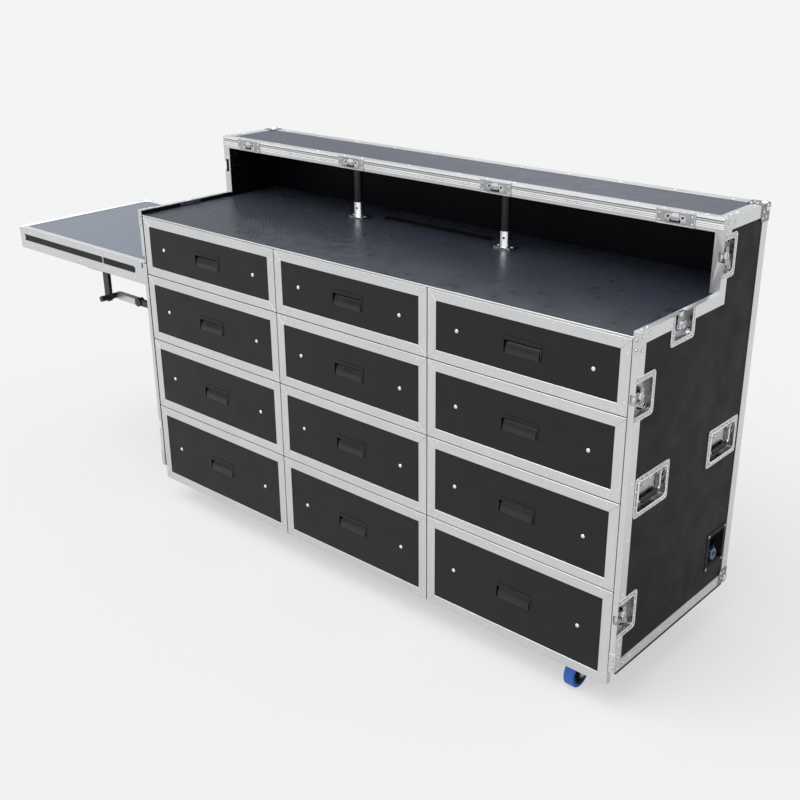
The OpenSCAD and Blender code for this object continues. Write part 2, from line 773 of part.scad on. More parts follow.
// A handle's dish, with a raised rim round its pan and two ears that carry the bail
module handle_dish() {
    difference() {
        union() {
            plate_x([side_out, skin]) rounded(handle_w, handle_h, dish_r);
            plate_x([side_out, skin + edge_t]) rounded(handle_pan_w + 8, handle_pan_h + 8, dish_r + 4);
            plate_x([side_in, side_out]) rounded(handle_pan_w + 2 * dish_t, handle_pan_h + 2 * dish_t,
                dish_r + dish_t);
        }
        plate_x([side_in + dish_t, skin + edge_t + past]) rounded(handle_pan_w, handle_pan_h, dish_r);
    }
    for (s = [-1, 1]) difference() {
        block([side_in, bail_x + 5], [s > 0 ? handle_pan_w / 2 - ear_t : -handle_pan_w / 2,
            s > 0 ? handle_pan_w / 2 : ear_t - handle_pan_w / 2], [bail_up - 6, bail_up + 6]);
        rod_y(bail_x, bail_up, [-handle_pan_w, handle_pan_w], bail_d + 2 * run_gap);
    }
}

// A quarter bend of the bail's wire about a centre, turned from the lower right
module bend(y, z, r, turn) translate([bail_x, y, z]) rotate([turn, 0, 0]) rotate([0, 90, 0])
    rotate_extrude(angle = 90) translate([r, 0]) circle(d = bail_d);

module bail(e) translate([0, handle_y[e], handle_z]) {
    low = bail_up - bail_l;
    color("#c9cbcd") union() {
        for (s = [0, 1]) mirror([0, s, 0]) {
            bend(bail_half - bail_corner, low + bail_corner, bail_corner, 0);
            bend(bail_half + bail_bend, bail_up - bail_bend, bail_bend, 180);
            translate([bail_x, bail_half, low + bail_corner])
                cylinder(d = bail_d, h = bail_l - bail_corner - bail_bend);
            rod_y(bail_x, bail_up, [bail_half + bail_bend, handle_pan_w / 2 - clear_gap], bail_d);
        }
        rod_y(bail_x, low, [bail_corner - bail_half, bail_half - bail_corner], bail_d);
    }
    color("#1b1b1d") difference() {
        rod_y(bail_x, low, [-grip_l / 2, grip_l / 2], grip_d);
        rod_y(bail_x, low, [-grip_l, grip_l], bail_d + 2 * run_gap);
    }
}

module recessed_dishes() color("#b4b7ba") {
    both_sides() for (k = [0:3]) at_latch(k) {
        latch_dish(k);
        latch_claw(k);
    }
    for (y = handle_y) translate([0, y, handle_z]) handle_dish();
    for (x = keeper_x) keeper(x);
}

// Worktop fittings

module shelf_post(x) translate([x, post_y, 0]) {
    post_top = top_z - board_t;
    sleeve_r = post_d / 2 + seam;
    color("#1d1e20") translate([0, 0, work_z]) difference() {
        cylinder(d = post_d, h = post_top - work_z);
        translate([0, 0, -past]) cylinder(d = post_d - 2 * post_wall, h = post_top - work_z + 2 * past);
    }
    color("#bfc2c5") difference() {
        union() {
            plate_z([work_z, work_z + foot_plate_t]) rounded(foot_plate_w, foot_plate_d, 4);
            translate([0, 0, work_z]) cylinder(r = sleeve_r + sleeve_wall, h = sleeve_h);
        }
        translate([0, 0, work_z - past]) cylinder(r = sleeve_r, h = sleeve_h + 2 * past);
        for (s = [-1, 1]) translate([s * (foot_plate_w / 2 - 6), 0, work_z - past])
            cylinder(d = 5, h = foot_plate_t + 2 * past);
    }
    color("#8b8e91") translate([0, 0, post_top - collar_h]) difference() {
        cylinder(r = sleeve_r + sleeve_wall, h = collar_h);
        translate([0, 0, -past]) cylinder(r = sleeve_r, h = collar_h + 2 * past);
    }
}

module shelf_posts() {
    shelf_post(-post_left_x);
    shelf_post(post_right_x);
}

module power_inlet() translate([0, inlet_y, inlet_z]) {
    w = inlet_w - 2 * inlet_rim;
    h = inlet_h - 2 * inlet_rim;
    low = skin - inlet_d;
    color("#202124") {
        difference() {
            union() {
                plate_x([side_out, skin]) rounded(inlet_w, inlet_h, 6);
                plate_x([low - dish_t, side_out]) square([w + 2 * dish_t, h + 2 * dish_t], center = true);
            }
            plate_x([low, skin + past]) square([w, h], center = true);
            for (y = [-1, 1]) for (z = [-1, 1]) plate_x([side_out - past, skin + past])
                translate([y * (inlet_w / 2 - 7), z * (inlet_h / 2 - 7)]) circle(d = 5);
        }
        plate_x([low - inlet_back, low - dish_t - seam]) square([w - 10, h - 10], center = true);
        block([low + seam, low + 14], [5 - w / 2, w / 2 - 5], [2 - h / 2, connector_d / 2 - connector_low + 4]);
    }
    color("#2a6fb0") difference() {
        translate([low + 14 + seam, 0, -connector_low]) rotate([0, 90, 0]) cylinder(d = connector_d, h = 11);
        translate([low + 18, 0, -connector_low]) rotate([0, 90, 0]) cylinder(d = connector_d - 8, h = 11);
    }
}

module cable_slot() color("#1a1b1d") translate([slot_x0, slot_y - slot_w / 2, 0]) difference() {
    union() {
        block([-slot_rim, slot_l + slot_rim], [-slot_rim, slot_w + slot_rim], [work_z, work_z + slot_t]);
        block([-slot_t, slot_l + slot_t], [-slot_t, slot_w + slot_t], [ply_z, work_z]);
    }
    block([0, slot_l], [0, slot_w], [ply_z - past, work_z + slot_t + past]);
}

// Drawers

// A fixed runner, from the board that carries it towards the box
module fixed_runner() {
    block([0, runner_wall], [0, box_d], [0, runner_h]);
    block([0, runner_lip], [0, box_d], [0, runner_wall]);
    block([0, runner_lip], [0, box_d], [runner_h - runner_wall, runner_h]);
}

// The runner on a box's side, from the box towards the board
module box_runner(y) {
    depth = runner_t - member_in;
    block([seam, runner_wall], y, [0, member_h]);
    block([seam, depth], y, [0, runner_wall]);
    block([seam, depth], y, [member_h - runner_wall, member_h]);
}

module drawer_runners() color("#aeb1b4") for (c = [0:2]) for (r = [0:3]) {
    z = box_z[r] + runner_up - runner_h / 2;
    translate([wall_left[c], divider_in + 2, z]) fixed_runner();
    translate([wall_right[c], divider_in + 2, z]) mirror([1, 0, 0]) fixed_runner();
}

module at_front(c, r) translate([column_x[c] + front_gap / 2, 0, row_z[r] + front_gap / 2]) children();

module drawer_frame(c, r) {
    w = column_w[c] - front_gap;
    h = row_h[r] - front_gap;
    at_front(c, r) {
        color("#d6d7d7") for (k = [0:3]) {
            plate_y([0, frame_t]) polygon(mitred(w, h, frame_w, k));
            plate_y([0, frame_return]) polygon(mitred(w, h, frame_t, k));
        }
        color("#c9cbcd") for (x = [bolt_in, w - bolt_in]) translate([x, frame_t, h / 2]) rotate([90, 0, 0])
            intersection() {
                cylinder(d = bolt_d, h = bolt_h);
                translate([0, 0, bolt_h - bolt_d * 0.6]) sphere(bolt_d * 0.6);
            }
    }
}

// The recessed cup of a pull: a rim, a cup with a curved ramp, and a lip above
module pull_cup() {
    in_w = pull_w / 2 - pull_rim;
    in_h = pull_h / 2 - pull_rim;
    back = frame_t + pull_d;
    difference() {
        union() {
            plate_y([seam, frame_t - seam]) rounded(pull_w, pull_h, 8);
            block([-in_w + seam, in_w - seam], [frame_t - seam, back], [-in_h + seam, in_h - seam]);
        }
        difference() {
            block([-in_w + pull_t, in_w - pull_t], [0, back - pull_t], [-in_h + pull_t, in_h - pull_t]);
            // ramp, hollowed by a round cut
            difference() {
                block([-in_w, in_w], [frame_t, back], [-in_h, 0]);
                translate([-in_w - past, frame_t - 3, 4]) rotate([0, 90, 0])
                    cylinder(r = in_h + 1, h = 2 * in_w + 2 * past);
            }
            block([-in_w, in_w], [0, frame_t + pull_t], [in_h - pull_lip, in_h]);
        }
    }
}

module drawer_box(c, r) {
    w = column_w[c] - front_gap;
    h = row_h[r] - front_gap;
    x0 = wall_left[c] + runner_t;
    x1 = wall_right[c] - runner_t;
    z0 = box_z[r];
    z1 = box_top[r];
    y0 = front_back + seam;
    color("#2b2c2f") at_front(c, r) {
        difference() {
            block([frame_t, w - frame_t], [frame_t, front_back], [frame_t, h - frame_t]);
            translate([w / 2, 0, h / 2]) block([pull_rim - pull_w / 2, pull_w / 2 - pull_rim],
                [0, front_back + past], [pull_rim - pull_h / 2, pull_h / 2 - pull_rim]);
        }
        translate([w / 2, 0, h / 2]) pull_cup();
    }
    color("#8a6f4e") {
        block([x0, x0 + box_t], [y0, box_rear], [z0, z1]);
        block([x1 - box_t, x1], [y0, box_rear], [z0, z1]);
        block([x0 + box_t + seam, x1 - box_t - seam], [box_rear - box_t, box_rear], [z0, z1]);
        block([x0 + box_t + seam, x1 - box_t - seam], [y0, box_rear - box_t - seam], [z0, z0 + box_floor_t]);
    }
    z = z0 + runner_up - member_h / 2;
    runner_y = [max(front_back, frame_return) + seam, box_rear];
    color("#aeb1b4") {
        translate([x0, 0, z]) mirror([1, 0, 0]) box_runner(runner_y);
        translate([x1, 0, z]) box_runner(runner_y);
    }
}

// Castors

module castor_plates() color("#8f9295") for (x = [-castor_x, castor_x]) for (y = [castor_front_y, castor_rear_y])
    translate([x, y, 0]) {
        difference() {
            plate_z([castor_top, castor_h]) rounded(castor_plate_l, castor_plate_w, 6);
            for (i = [-1, 1]) for (j = [-1, 1])
                translate([i * (castor_plate_l / 2 - 11), j * (castor_plate_w / 2 - 11), castor_top - past])
                    cylinder(d = 8.5, h = castor_plate_t + 2 * past);
        }
        translate([0, 0, race_z]) cylinder(d = race_d, h = race_h);
        translate([0, 0, fork_crown - clear_gap]) cylinder(d = kingpin_d, h = race_z - fork_crown + clear_gap);
        translate([0, 0, fork_crown - clear_gap - 2]) cylinder(d = kingpin_d + 6, h = 2);
    }

// The front left castor has swung round, so that its wheel trails to the back
module at_castor(e, s) translate([s == 0 ? castor_x : -castor_x, e == 0 ? castor_front_y : castor_rear_y, 0])
    rotate([0, 0, e == 0 && s == 1 ? 180 : 0]) children();

module castor_fork(e, s) color("#9b9ea1") at_castor(e, s) {
    leg = hub_w / 2 + clear_gap;
    difference() {
        translate([0, 0, fork_crown]) union() {
            cylinder(d = race_d - 6, h = fork_top - fork_crown);
            block([-leg - fork_t, leg + fork_t], [-race_d / 2 + 4, 18], [0, fork_t]);
        }
        translate([0, 0, fork_crown - past]) cylinder(d = kingpin_d + 2 * run_gap, h = fork_top);
    }
    for (m = [0, 1]) mirror([m, 0, 0]) plate_x([leg, leg + fork_t]) {
        polygon([[18, fork_crown + fork_t], [-race_d / 2 + 4, fork_crown + fork_t],
            [-trail - 12, axle_z], [-trail + 8, axle_z - 9], [18, fork_crown - 6]]);
        translate([-trail, axle_z]) circle(12);
    }
    translate([-leg - fork_t - 3, -trail, axle_z]) rotate([0, 90, 0])
        cylinder(d = axle_d, h = 2 * (leg + fork_t + 3));
}

module castor_wheel(e, s) at_castor(e, s) translate([0, -trail, axle_z]) rotate([0, 90, 0]) {
    hub_r = wheel_d / 2 - tread_t;
    bore_r = axle_d / 2 + run_gap;
    color("#1d62a8") rotate_extrude() {
        translate([hub_r + seam, -wheel_w / 2 + 3]) square([tread_t - seam, wheel_w - 6]);
        translate([hub_r + seam, -wheel_w / 2]) square([tread_t - 3 - seam, wheel_w]);
        for (z = [-1, 1]) translate([wheel_d / 2 - 3, z * (wheel_w / 2 - 3)]) circle(3);
    }
    color("#232427") rotate_extrude() {
        translate([bore_r, -hub_w / 2]) square([7, hub_w]);
        translate([bore_r, -5]) square([hub_r - bore_r, 10]);
        translate([hub_r - 5, -wheel_w / 2 + 2]) square([5, wheel_w - 4]);
    }
}

// Side table

module table_top() color("#3b3f46") {
    x0 = table_x0 + edge_t;
    x1 = table_x1 - edge_t;
    y0 = table_y + edge_t;
    y1 = table_y1 - edge_t;
    low = table_low + edge_t;
    high = table_panel - seam;
    field = table_rail_w + seam - edge_t;
    block([x0, x1], [y0, y1], [table_panel, table_z - edge_t - seam]);
    block([x0 + field, x1 - field], [y0 + field, y1 - field], [table_panel, table_z - edge_t]);
    block([x0, x1], [y0, y0 + table_wall], [low, high]);
    block([x0, x1], [y1 - table_wall, y1], [low, high]);
    block([x0, x0 + table_wall], [y0 + table_wall + seam, y1 - table_wall - seam], [low, high]);
    difference() {
        block([x1 - table_wall, x1], [y0 + table_wall + seam, y1 - table_wall - seam], [low, high]);
        hinge_room();
    }
}

// Space that the hinge lugs and wall plates sweep through at the table's inner end
module hinge_room() for (y = hinge_y) block([hinge_x, table_x1 + past],
    [y - hinge_plate_w / 2 - 2, y + hinge_plate_w / 2 + 2], [table_low - past, hinge_z + lug_r + 0.5]);

module table_rails() color("#d6d7d7") {
    difference() {
        translate([table_x0, table_y, 0]) for (k = [0:3]) {
            plate_z([table_z - edge_t, table_z]) polygon(mitred(table_l, table_w, table_rail_w, k));
            plate_z([table_z - table_rail_h, table_z]) polygon(mitred(table_l, table_w, edge_t, k));
            plate_z([table_low, table_low + edge_t]) polygon(mitred(table_l, table_w, table_wall, k));
            plate_z([table_low, table_low + table_rail_low_h]) polygon(mitred(table_l, table_w, edge_t, k));
        }
        hinge_room();
    }
    translate([table_x0, table_y1, table_z]) mirror([1, 0, 0]) ball_corner(false);
}

// Wall plates with the hinge lugs and pins, and the plate that carries the stay
module table_brackets() color("#7f8285") {
    for (y = hinge_y) difference() {
        union() {
            block([-side_out - hinge_plate_t, -side_out], [y - hinge_plate_w / 2, y + hinge_plate_w / 2],
                [hinge_z - hinge_plate_h / 2, hinge_z + hinge_plate_h / 2]);
            block([hinge_x, -side_out], [y - lug_t / 2, y + lug_t / 2], [hinge_z - lug_r, hinge_z + lug_r]);
            rod_y(hinge_x, hinge_z, [y - lug_t / 2, y + lug_t / 2], 2 * lug_r);
            rod_y(hinge_x, hinge_z, [y - lug_t / 2 - table_ear_t - 2, y + lug_t / 2 + table_ear_t + 2], hinge_pin_d);
        }
    }
    lug_y = strut_y1 + clear_gap;
    block([-side_out - hinge_plate_t, -side_out], [lug_y - hinge_plate_w / 2, lug_y + hinge_plate_w / 2],
        [stay_c[1] - hinge_plate_h / 2, stay_c[1] + hinge_plate_h / 2]);
    block([stay_c[0], -side_out], [lug_y, lug_y + stay_ear_t], [stay_c[1] - lug_r, stay_c[1] + lug_r]);
    rod_y(stay_c[0], stay_c[1], [lug_y, lug_y + stay_ear_t], 2 * lug_r);
    rod_y(stay_c[0], stay_c[1], [strut_y0 - 2, lug_y + stay_ear_t], stay_pin_d);
    rod_y(stay_c[0], stay_c[1], [strut_y0 - 4, strut_y0 - clear_gap], stay_pin_d + 6);
}

// An ear below the table's panel with a bore for a pin
module table_ear(x, y, r) difference() {
    union() {
        block([x - r, x + r], y, [hinge_z, table_panel]);
        rod_y(x, hinge_z, y, 2 * r);
    }
    rod_y(x, hinge_z, [y[0] - past, y[1] + past], hinge_pin_d + 2 * run_gap);
}

module table_hinges() color("#7f8285") {
    ear_r = hinge_in - edge_t - table_wall - 0.5;
    for (y = hinge_y) {
        table_ear(hinge_x, [y + lug_t / 2 + clear_gap, y + lug_t / 2 + clear_gap + table_ear_t], ear_r);
        table_ear(hinge_x, [y - lug_t / 2 - clear_gap - table_ear_t, y - lug_t / 2 - clear_gap], ear_r);
    }
    // plate and ear that carry the stay's arm
    difference() {
        union() {
            block([stay_a[0] - stay_plate_l / 2, stay_a[0] + stay_plate_l / 2],
                [table_y + edge_t, stay_ear_y + stay_ear_t], [table_low - stay_plate_t, table_low]);
            block([stay_a[0] - arm_w / 2, stay_a[0] + arm_w / 2], [stay_ear_y, stay_ear_y + stay_ear_t],
                [table_low, stay_a[1]]);
            rod_y(stay_a[0], stay_a[1], [stay_ear_y, stay_ear_y + stay_ear_t], arm_w);
        }
        rod_y(stay_a[0], stay_a[1], [0, arm_y], stay_pin_d + 2 * run_gap);
    }
}

module stay_arm() color("#1c1d1f") {
    arm_back = arm_y + arm_t;
    block([stay_a[0] - arm_w / 2, stay_a[0] + arm_w / 2], [arm_y, arm_back], [stay_b[1], stay_a[1]]);
    rod_y(stay_a[0], stay_a[1], [arm_y, arm_back], arm_w);
    rod_y(stay_b[0], stay_b[1], [arm_y, arm_back], arm_w);
    rod_y(stay_a[0], stay_a[1], [stay_ear_y - 1, arm_y], stay_pin_d);
    rod_y(stay_a[0], stay_a[1], [stay_ear_y - 4, stay_ear_y - clear_gap], stay_pin_d + 6);
    // foot bar, and the spigot that the strut turns on
    rod_y(stay_b[0], stay_b[1], [foot_y, strut_y0 - clear_gap], foot_d);
    rod_y(stay_b[0], stay_b[1], [arm_y, strut_y1 + 1], stay_pin_d);
    rod_y(stay_b[0], stay_b[1], [strut_y1 + clear_gap, strut_y1 + 4], stay_pin_d + 6);
}

module stay_strut() {
    tube_x = stay_b[0] + strut_half;
    z = stay_b[1];
    color("#1c1d1f") difference() {
        rod_y(stay_b[0], z, [strut_y0, strut_y1], strut_tube - 2);
        rod_y(stay_b[0], z, [0, 2 * strut_y], stay_pin_d + 2 * clear_gap);
    }
    color("#c4c6c8") difference() {
        block([tube_x, tube_x + strut_tube_l], [strut_y0, strut_y1], [z - strut_half, z + strut_half]);
        block([tube_x - past, tube_x + strut_tube_l + past], [strut_y0 + strut_wall, strut_y1 - strut_wall],
            [z - strut_half + strut_wall, z + strut_half - strut_wall]);
    }
    color("#1c1d1f") difference() {
        union() {
            rod_y(knuckle_x, z, [strut_y0, strut_y1], knuckle_d);
            plate_y([strut_y0 + 4, strut_y1 - 4]) polygon([[knuckle_x, z - strut_half], [knuckle_x, z + strut_half],
                [stay_c[0], z + lug_r - 2], [stay_c[0], z - lug_r + 2]]);
            rod_y(stay_c[0], z, [strut_y0, strut_y1], 2 * lug_r - 2);
        }
        rod_y(stay_c[0], z, [0, 2 * strut_y], stay_pin_d + 2 * run_gap);
    }
}

placed() side_panels();
placed() carcass_panels();
placed() worktop();
placed() edge_extrusions();
placed() worktop_lip();
placed() corner_hardware();
placed() recessed_dishes();
placed() shelf_posts();
placed() power_inlet();
placed() cable_slot();
placed() drawer_runners();
placed() castor_plates();
placed() table_brackets();
placed() table_top();
placed() table_rails();
placed() table_hinges();
placed() stay_arm();
placed() stay_strut();
placed() bail(0);  // handle_front
placed() bail(1);  // handle_rear
for (c = [0:2]) for (r = [0:3]) {
    placed() drawer_box(c, r);
    placed() drawer_frame(c, r);
}
for (s = [0:1]) for (k = [0:3]) placed() latch_key(s, k);
for (e = [0:1]) for (s = [0:1]) {
    placed() castor_fork(e, s);
    placed() castor_wheel(e, s);
}
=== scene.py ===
"""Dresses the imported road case: finishes, small hardware, studio and camera."""

import json
import math

import bmesh
import bpy
from bpy.props import FloatProperty, FloatVectorProperty, IntProperty, PointerProperty
from mathutils import Matrix, Vector


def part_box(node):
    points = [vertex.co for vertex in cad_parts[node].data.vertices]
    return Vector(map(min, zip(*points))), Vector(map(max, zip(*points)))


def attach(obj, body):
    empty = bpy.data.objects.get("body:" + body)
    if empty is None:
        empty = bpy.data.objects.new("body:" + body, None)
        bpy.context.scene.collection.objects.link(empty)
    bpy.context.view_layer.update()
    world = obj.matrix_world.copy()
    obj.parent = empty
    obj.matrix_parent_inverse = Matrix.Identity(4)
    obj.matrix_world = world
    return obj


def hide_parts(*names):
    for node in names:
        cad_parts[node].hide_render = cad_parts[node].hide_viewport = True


bl_info = {
    "name": "Drawer Road Case Dressing",
    "version": (1, 0, 0),
    "blender": (4, 5, 0),
    "location": "View3D > Sidebar > Road Case",
    "description": "Finishes, rivets, latches, handles, castors and studio of a road case with drawers",
    "category": "Object",
}

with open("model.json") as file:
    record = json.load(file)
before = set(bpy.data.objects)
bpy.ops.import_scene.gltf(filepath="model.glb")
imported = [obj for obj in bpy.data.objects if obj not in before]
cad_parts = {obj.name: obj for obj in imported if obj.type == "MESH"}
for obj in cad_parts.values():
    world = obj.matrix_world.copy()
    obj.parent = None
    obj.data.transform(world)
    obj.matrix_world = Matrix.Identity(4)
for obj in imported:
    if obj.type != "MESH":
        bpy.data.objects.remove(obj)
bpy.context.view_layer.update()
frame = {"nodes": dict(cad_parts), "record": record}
NODES = frame["nodes"]
BODY_OF = {n: body for body, names in frame["record"]["behaviour"]["bodies"].items() for n in names}

MM = 0.001
PANELS_LOW, PANELS_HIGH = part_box("side_panels")
ORIGIN = Vector(((PANELS_LOW.x + PANELS_HIGH.x) / 2, PANELS_LOW.y, 0.0))


def case_box(node):
    """A node's lowest and highest corners in mm, from the middle of the case's front at floor level."""
    low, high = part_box(node)
    return (low - ORIGIN) / MM, (high - ORIGIN) / MM


def middle(node):
    low, high = case_box(node)
    return (low + high) / 2


# Places and sizes in millimetres, read from the frame where it has them
SIDE_OUT, CASE_DEPTH, _ = case_box("side_panels")[1]
BASE_TOP = case_box("side_panels")[0].z
SKIN, REAR_SKIN, TOP_SKIN = case_box("edge_extrusions")[1]
SIDE_IN = case_box("carcass_panels")[1].x
WORK_Z = case_box("worktop")[1].z
STEP_Z = WORK_Z + 12.0
EDGE_T = SKIN - SIDE_OUT
RISER_Y = case_box("shelf_posts")[0].y - 37.0
POSTS_X, POST_Y = (-345.0, 228.0), middle("shelf_posts").y
SIDE_STRIP_W = 30.0
LEAF_T = 1.2

SIDES = {"right": 1, "left": -1}
COLUMNS = ("left", "middle", "right")
ROWS = (1, 2, 3, 4)
UP, BACK, FRONT = (0.0, 0.0, 1.0), (0.0, 1.0, 0.0), (0.0, -1.0, 0.0)

# How far each latch's dish reaches inwards from the edge
LATCH_INWARD = {"upper": 85.0, "lower": 85.0, "step": 75.0, "riser": 64.0}
LATCH_L, LATCH_RIM, LATCH_PAN_D = 112.0, 14.0, 12.5
LATCH_FLOOR = 1.2 - LATCH_PAN_D
CLAW_HALF = 11.0
DISH_R = 10.0
HANDLE_W, HANDLE_H, HANDLE_RIM = 160.0, 108.0, 14.0
HANDLE_AXIS_DOWN, SPRING_OUT = 12.0, 46.9
KEEPERS_X = (-787, -318, 233, 783)
# Each band painted on the tongue: distance down from the top, height, finish; bright bands are painted
# highlights of its ribs, seat bands painted shade of its grooves
TONGUE_PAINTED_BANDS = ((1.0, 5.0, "bright"), (6.0, 2.4, "seat"), (12.6, 1.6, "seat"), (14.2, 4.6, "bright"),
                (18.8, 0.9, "seat"), (19.7, 3.4, "bright"), (23.1, 0.9, "seat"), (24.0, 3.2, "bright"))
BALL_R, BALL_IN = 15.2, 9.1
SWIVEL_IN, PLATE_LOW = 85.0, 105.0
# Middles of the wall brackets of the side table's hinges and stay
BRACKETS = ((160.0, 808.5), (500.0, 808.5), (115.3, 655.5))
PULL_W, PULL_H = 116.0, 48.0
PULL_IN_W, PULL_IN_H = 109.6, 41.6
PULL_TOP, PULL_LOW = 14.0, -20.6
PULL_WALL, PULL_GAP = 1.2, 3.4
# Outer face, seat on the front panel and back of a pull cup, outwards from the front plane
PULL_LEVELS = (-0.2, -1.4, -25.4)
# The mat's rows turn by so many degrees; its marks' length and width are shares of the pitch
MAT_TURN, MAT_BAR_L, MAT_BAR_W = 104.0, 0.74, 0.40
# How far the marks keep from the mat's edge, the slot and the middle of a post's foot
MAT_EDGE, SLOT_GAP, FOOT_GAP_X, FOOT_GAP_Y = 6, 8, 38, 28
# Outline of one wing of a butterfly key, from its boss outwards
WING = ((-5.0, 7.0), (-7.2, 11.0), (-7.9, 15.0), (-6.8, 19.0), (-4.0, 21.4), (0.0, 22.0), (4.0, 21.4),
        (6.8, 19.0), (7.9, 15.0), (7.2, 11.0), (5.0, 7.0))


# Sizes and colours


def linear(*eye):
    """A colour read from 0 to 255 as linear light."""
    return tuple(c / 12.92 if c <= 0.04045 else ((c + 0.055) / 1.055) ** 2.4 for c in (v / 255 for v in eye))


def colour_of(name, description, *eye):
    """A colour property whose default is given in steps from 0 to 255."""
    return FloatVectorProperty(name=name, description=description, default=linear(*eye), subtype="COLOR",
                               size=3, min=0.0, max=1.0)


def length_of(name, description, default, low, high):
    return FloatProperty(name=name, description=description, default=default, min=low, max=high,
                         unit="LENGTH")


def number_of(name, description, default, low, high, subtype="NONE"):
    return FloatProperty(name=name, description=description, default=default, min=low, max=high,
                         subtype=subtype)


def angle_of(name, description, degrees):
    return FloatProperty(name=name, description=description, default=math.radians(degrees), subtype="ANGLE")


class CaseFinishes(bpy.types.PropertyGroup):
    """Colours of the case."""

    panel: colour_of("Panels", "Laminate of the drawer fronts", 24, 24, 26)
    inside: colour_of("Inside", "Laminate of the raised part's inside and the base", 20, 21, 23)
    mat: colour_of("Mat", "Anti-slip mat on the worktop", 13, 15, 20)
    # The ridge colour, far lighter than the mat's rubber, is painted sheen on the raised marks
    mat_ridge: colour_of("Mat ridges", "Raised pattern of the mat", 100, 107, 128)
    aluminium: colour_of("Aluminium", "Edge extrusions and drawer frames", 214, 214, 214)
    zinc: colour_of("Plated steel", "Latches, dishes, braces and rivets", 216, 216, 217)
    steel: colour_of("Corner steel", "Ball corners and castor forks", 176, 177, 178)
    plastic: colour_of("Black plastic", "Pull cups, inlet plate and slot", 15, 15, 17)
    rubber: colour_of("Grip", "Sleeves of the handles", 14, 14, 16)
    tread: colour_of("Tyres", "Tread of the castor wheels", 22, 86, 172)
    connector: colour_of("Connector", "Body of the power inlet", 44, 70, 104)
    table: colour_of("Table top", "Laminate of the side table", 118, 124, 135)
    raised_top: colour_of("Raised top", "Dotted laminate on the raised part", 66, 70, 80)
    wood: colour_of("Drawer wood", "Plywood of the drawer boxes", 176, 146, 104)
    wear: number_of("Wear", "Strength of scuffs and fine scratches", 0.35, 0.0, 1.0, "FACTOR")


class HardwareSizes(bpy.types.PropertyGroup):
    """Sizes of the small hardware."""

    rivet: length_of("Rivet head", "Diameter of the rivets' heads", 0.0072, 0.003, 0.012)
    small_rivet: length_of("Small rivet head", "Diameter of the rivets of the frames", 0.0042, 0.002, 0.008)
    screw: length_of("Screw head", "Diameter of the screws' heads", 0.0075, 0.004, 0.012)
    bolt: length_of("Bolt head", "Diameter of the castor bolts' heads", 0.014, 0.008, 0.02)
    pitch: length_of("Rivet pitch", "Largest distance of rivets along an edge", 0.17, 0.05, 0.4)
    mat_pitch: length_of("Mat pitch", "Distance of the rows of marks on the mat", 0.0076, 0.003, 0.02)
    bead: length_of("Pressed bead", "Height of the beads pressed in the dishes", 0.0016, 0.0005, 0.003)
    bristles: IntProperty(name="Bristles", description="Bristles on each side of the cable slot", default=160,
                          min=20, max=400)
    hub_ribs: IntProperty(name="Hub ribs", description="Ribs on each side of a wheel's hub", default=10,
                          min=3, max=24)
    spring_turns: number_of("Spring turns", "Turns of each spring of a handle", 3.5, 1.0, 8.0)


class StageSettings(bpy.types.PropertyGroup):
    """Floor, light and camera."""

    floor: colour_of("Floor", "Colour of the floor and of the background", 242, 242, 242)
    sky: number_of("Sky", "Strength of the even light", 0.66, 0.0, 3.0)
    key: number_of("Key", "Strength of the soft sun", 1.75, 0.0, 10.0)
    lens: number_of("Lens", "Focal length for a 36 mm sensor", 50.47, 10.0, 200.0)
    azimuth: angle_of("Azimuth", "Camera's turn round the case", 42.016)
    elevation: angle_of("Elevation", "Camera's height above the horizon", 22.646)
    roll: angle_of("Roll", "Camera's tilt", -0.463)
    place: FloatVectorProperty(name="Camera place",
                               description="Where the camera stands, from the case's front",
                               default=(2.0817, -2.0838, 1.8447), subtype="TRANSLATION", unit="LENGTH",
                               size=3)


class Nodes:
    """Adds nodes to a tree and joins them up."""

    def __init__(self, tree):
        self.tree = tree

    def feed(self, socket, value):
        if isinstance(value, bpy.types.NodeSocket):
            self.tree.links.new(value, socket)
        else:
            socket.default_value = value

    def feed_all(self, node, *values):
        """Fills a node's sockets in their order and gives its first output."""
        for index, value in enumerate(values):
            self.feed(node.inputs[index], value)
        return node.outputs[0]

    def node(self, kind, settings=None, **inputs):
        made = self.tree.nodes.new(kind)
        for key, value in (settings or {}).items():
            setattr(made, key, value)
        for key, value in inputs.items():
            self.feed(made.inputs[key.replace("_", " ")], value)
        return made

    def maths(self, operation, *values):
        return self.feed_all(self.node("ShaderNodeMath", {"operation": operation}), *values)

    def span(self, value, low, high, start=0.0, end=1.0):
        """Value's range from low to high, as start to end."""
        return self.feed_all(self.node("ShaderNodeMapRange"), value, low, high, start, end)


# Materials


def shade(colour, factor):
    return tuple(min(1.0, c * factor) for c in colour)


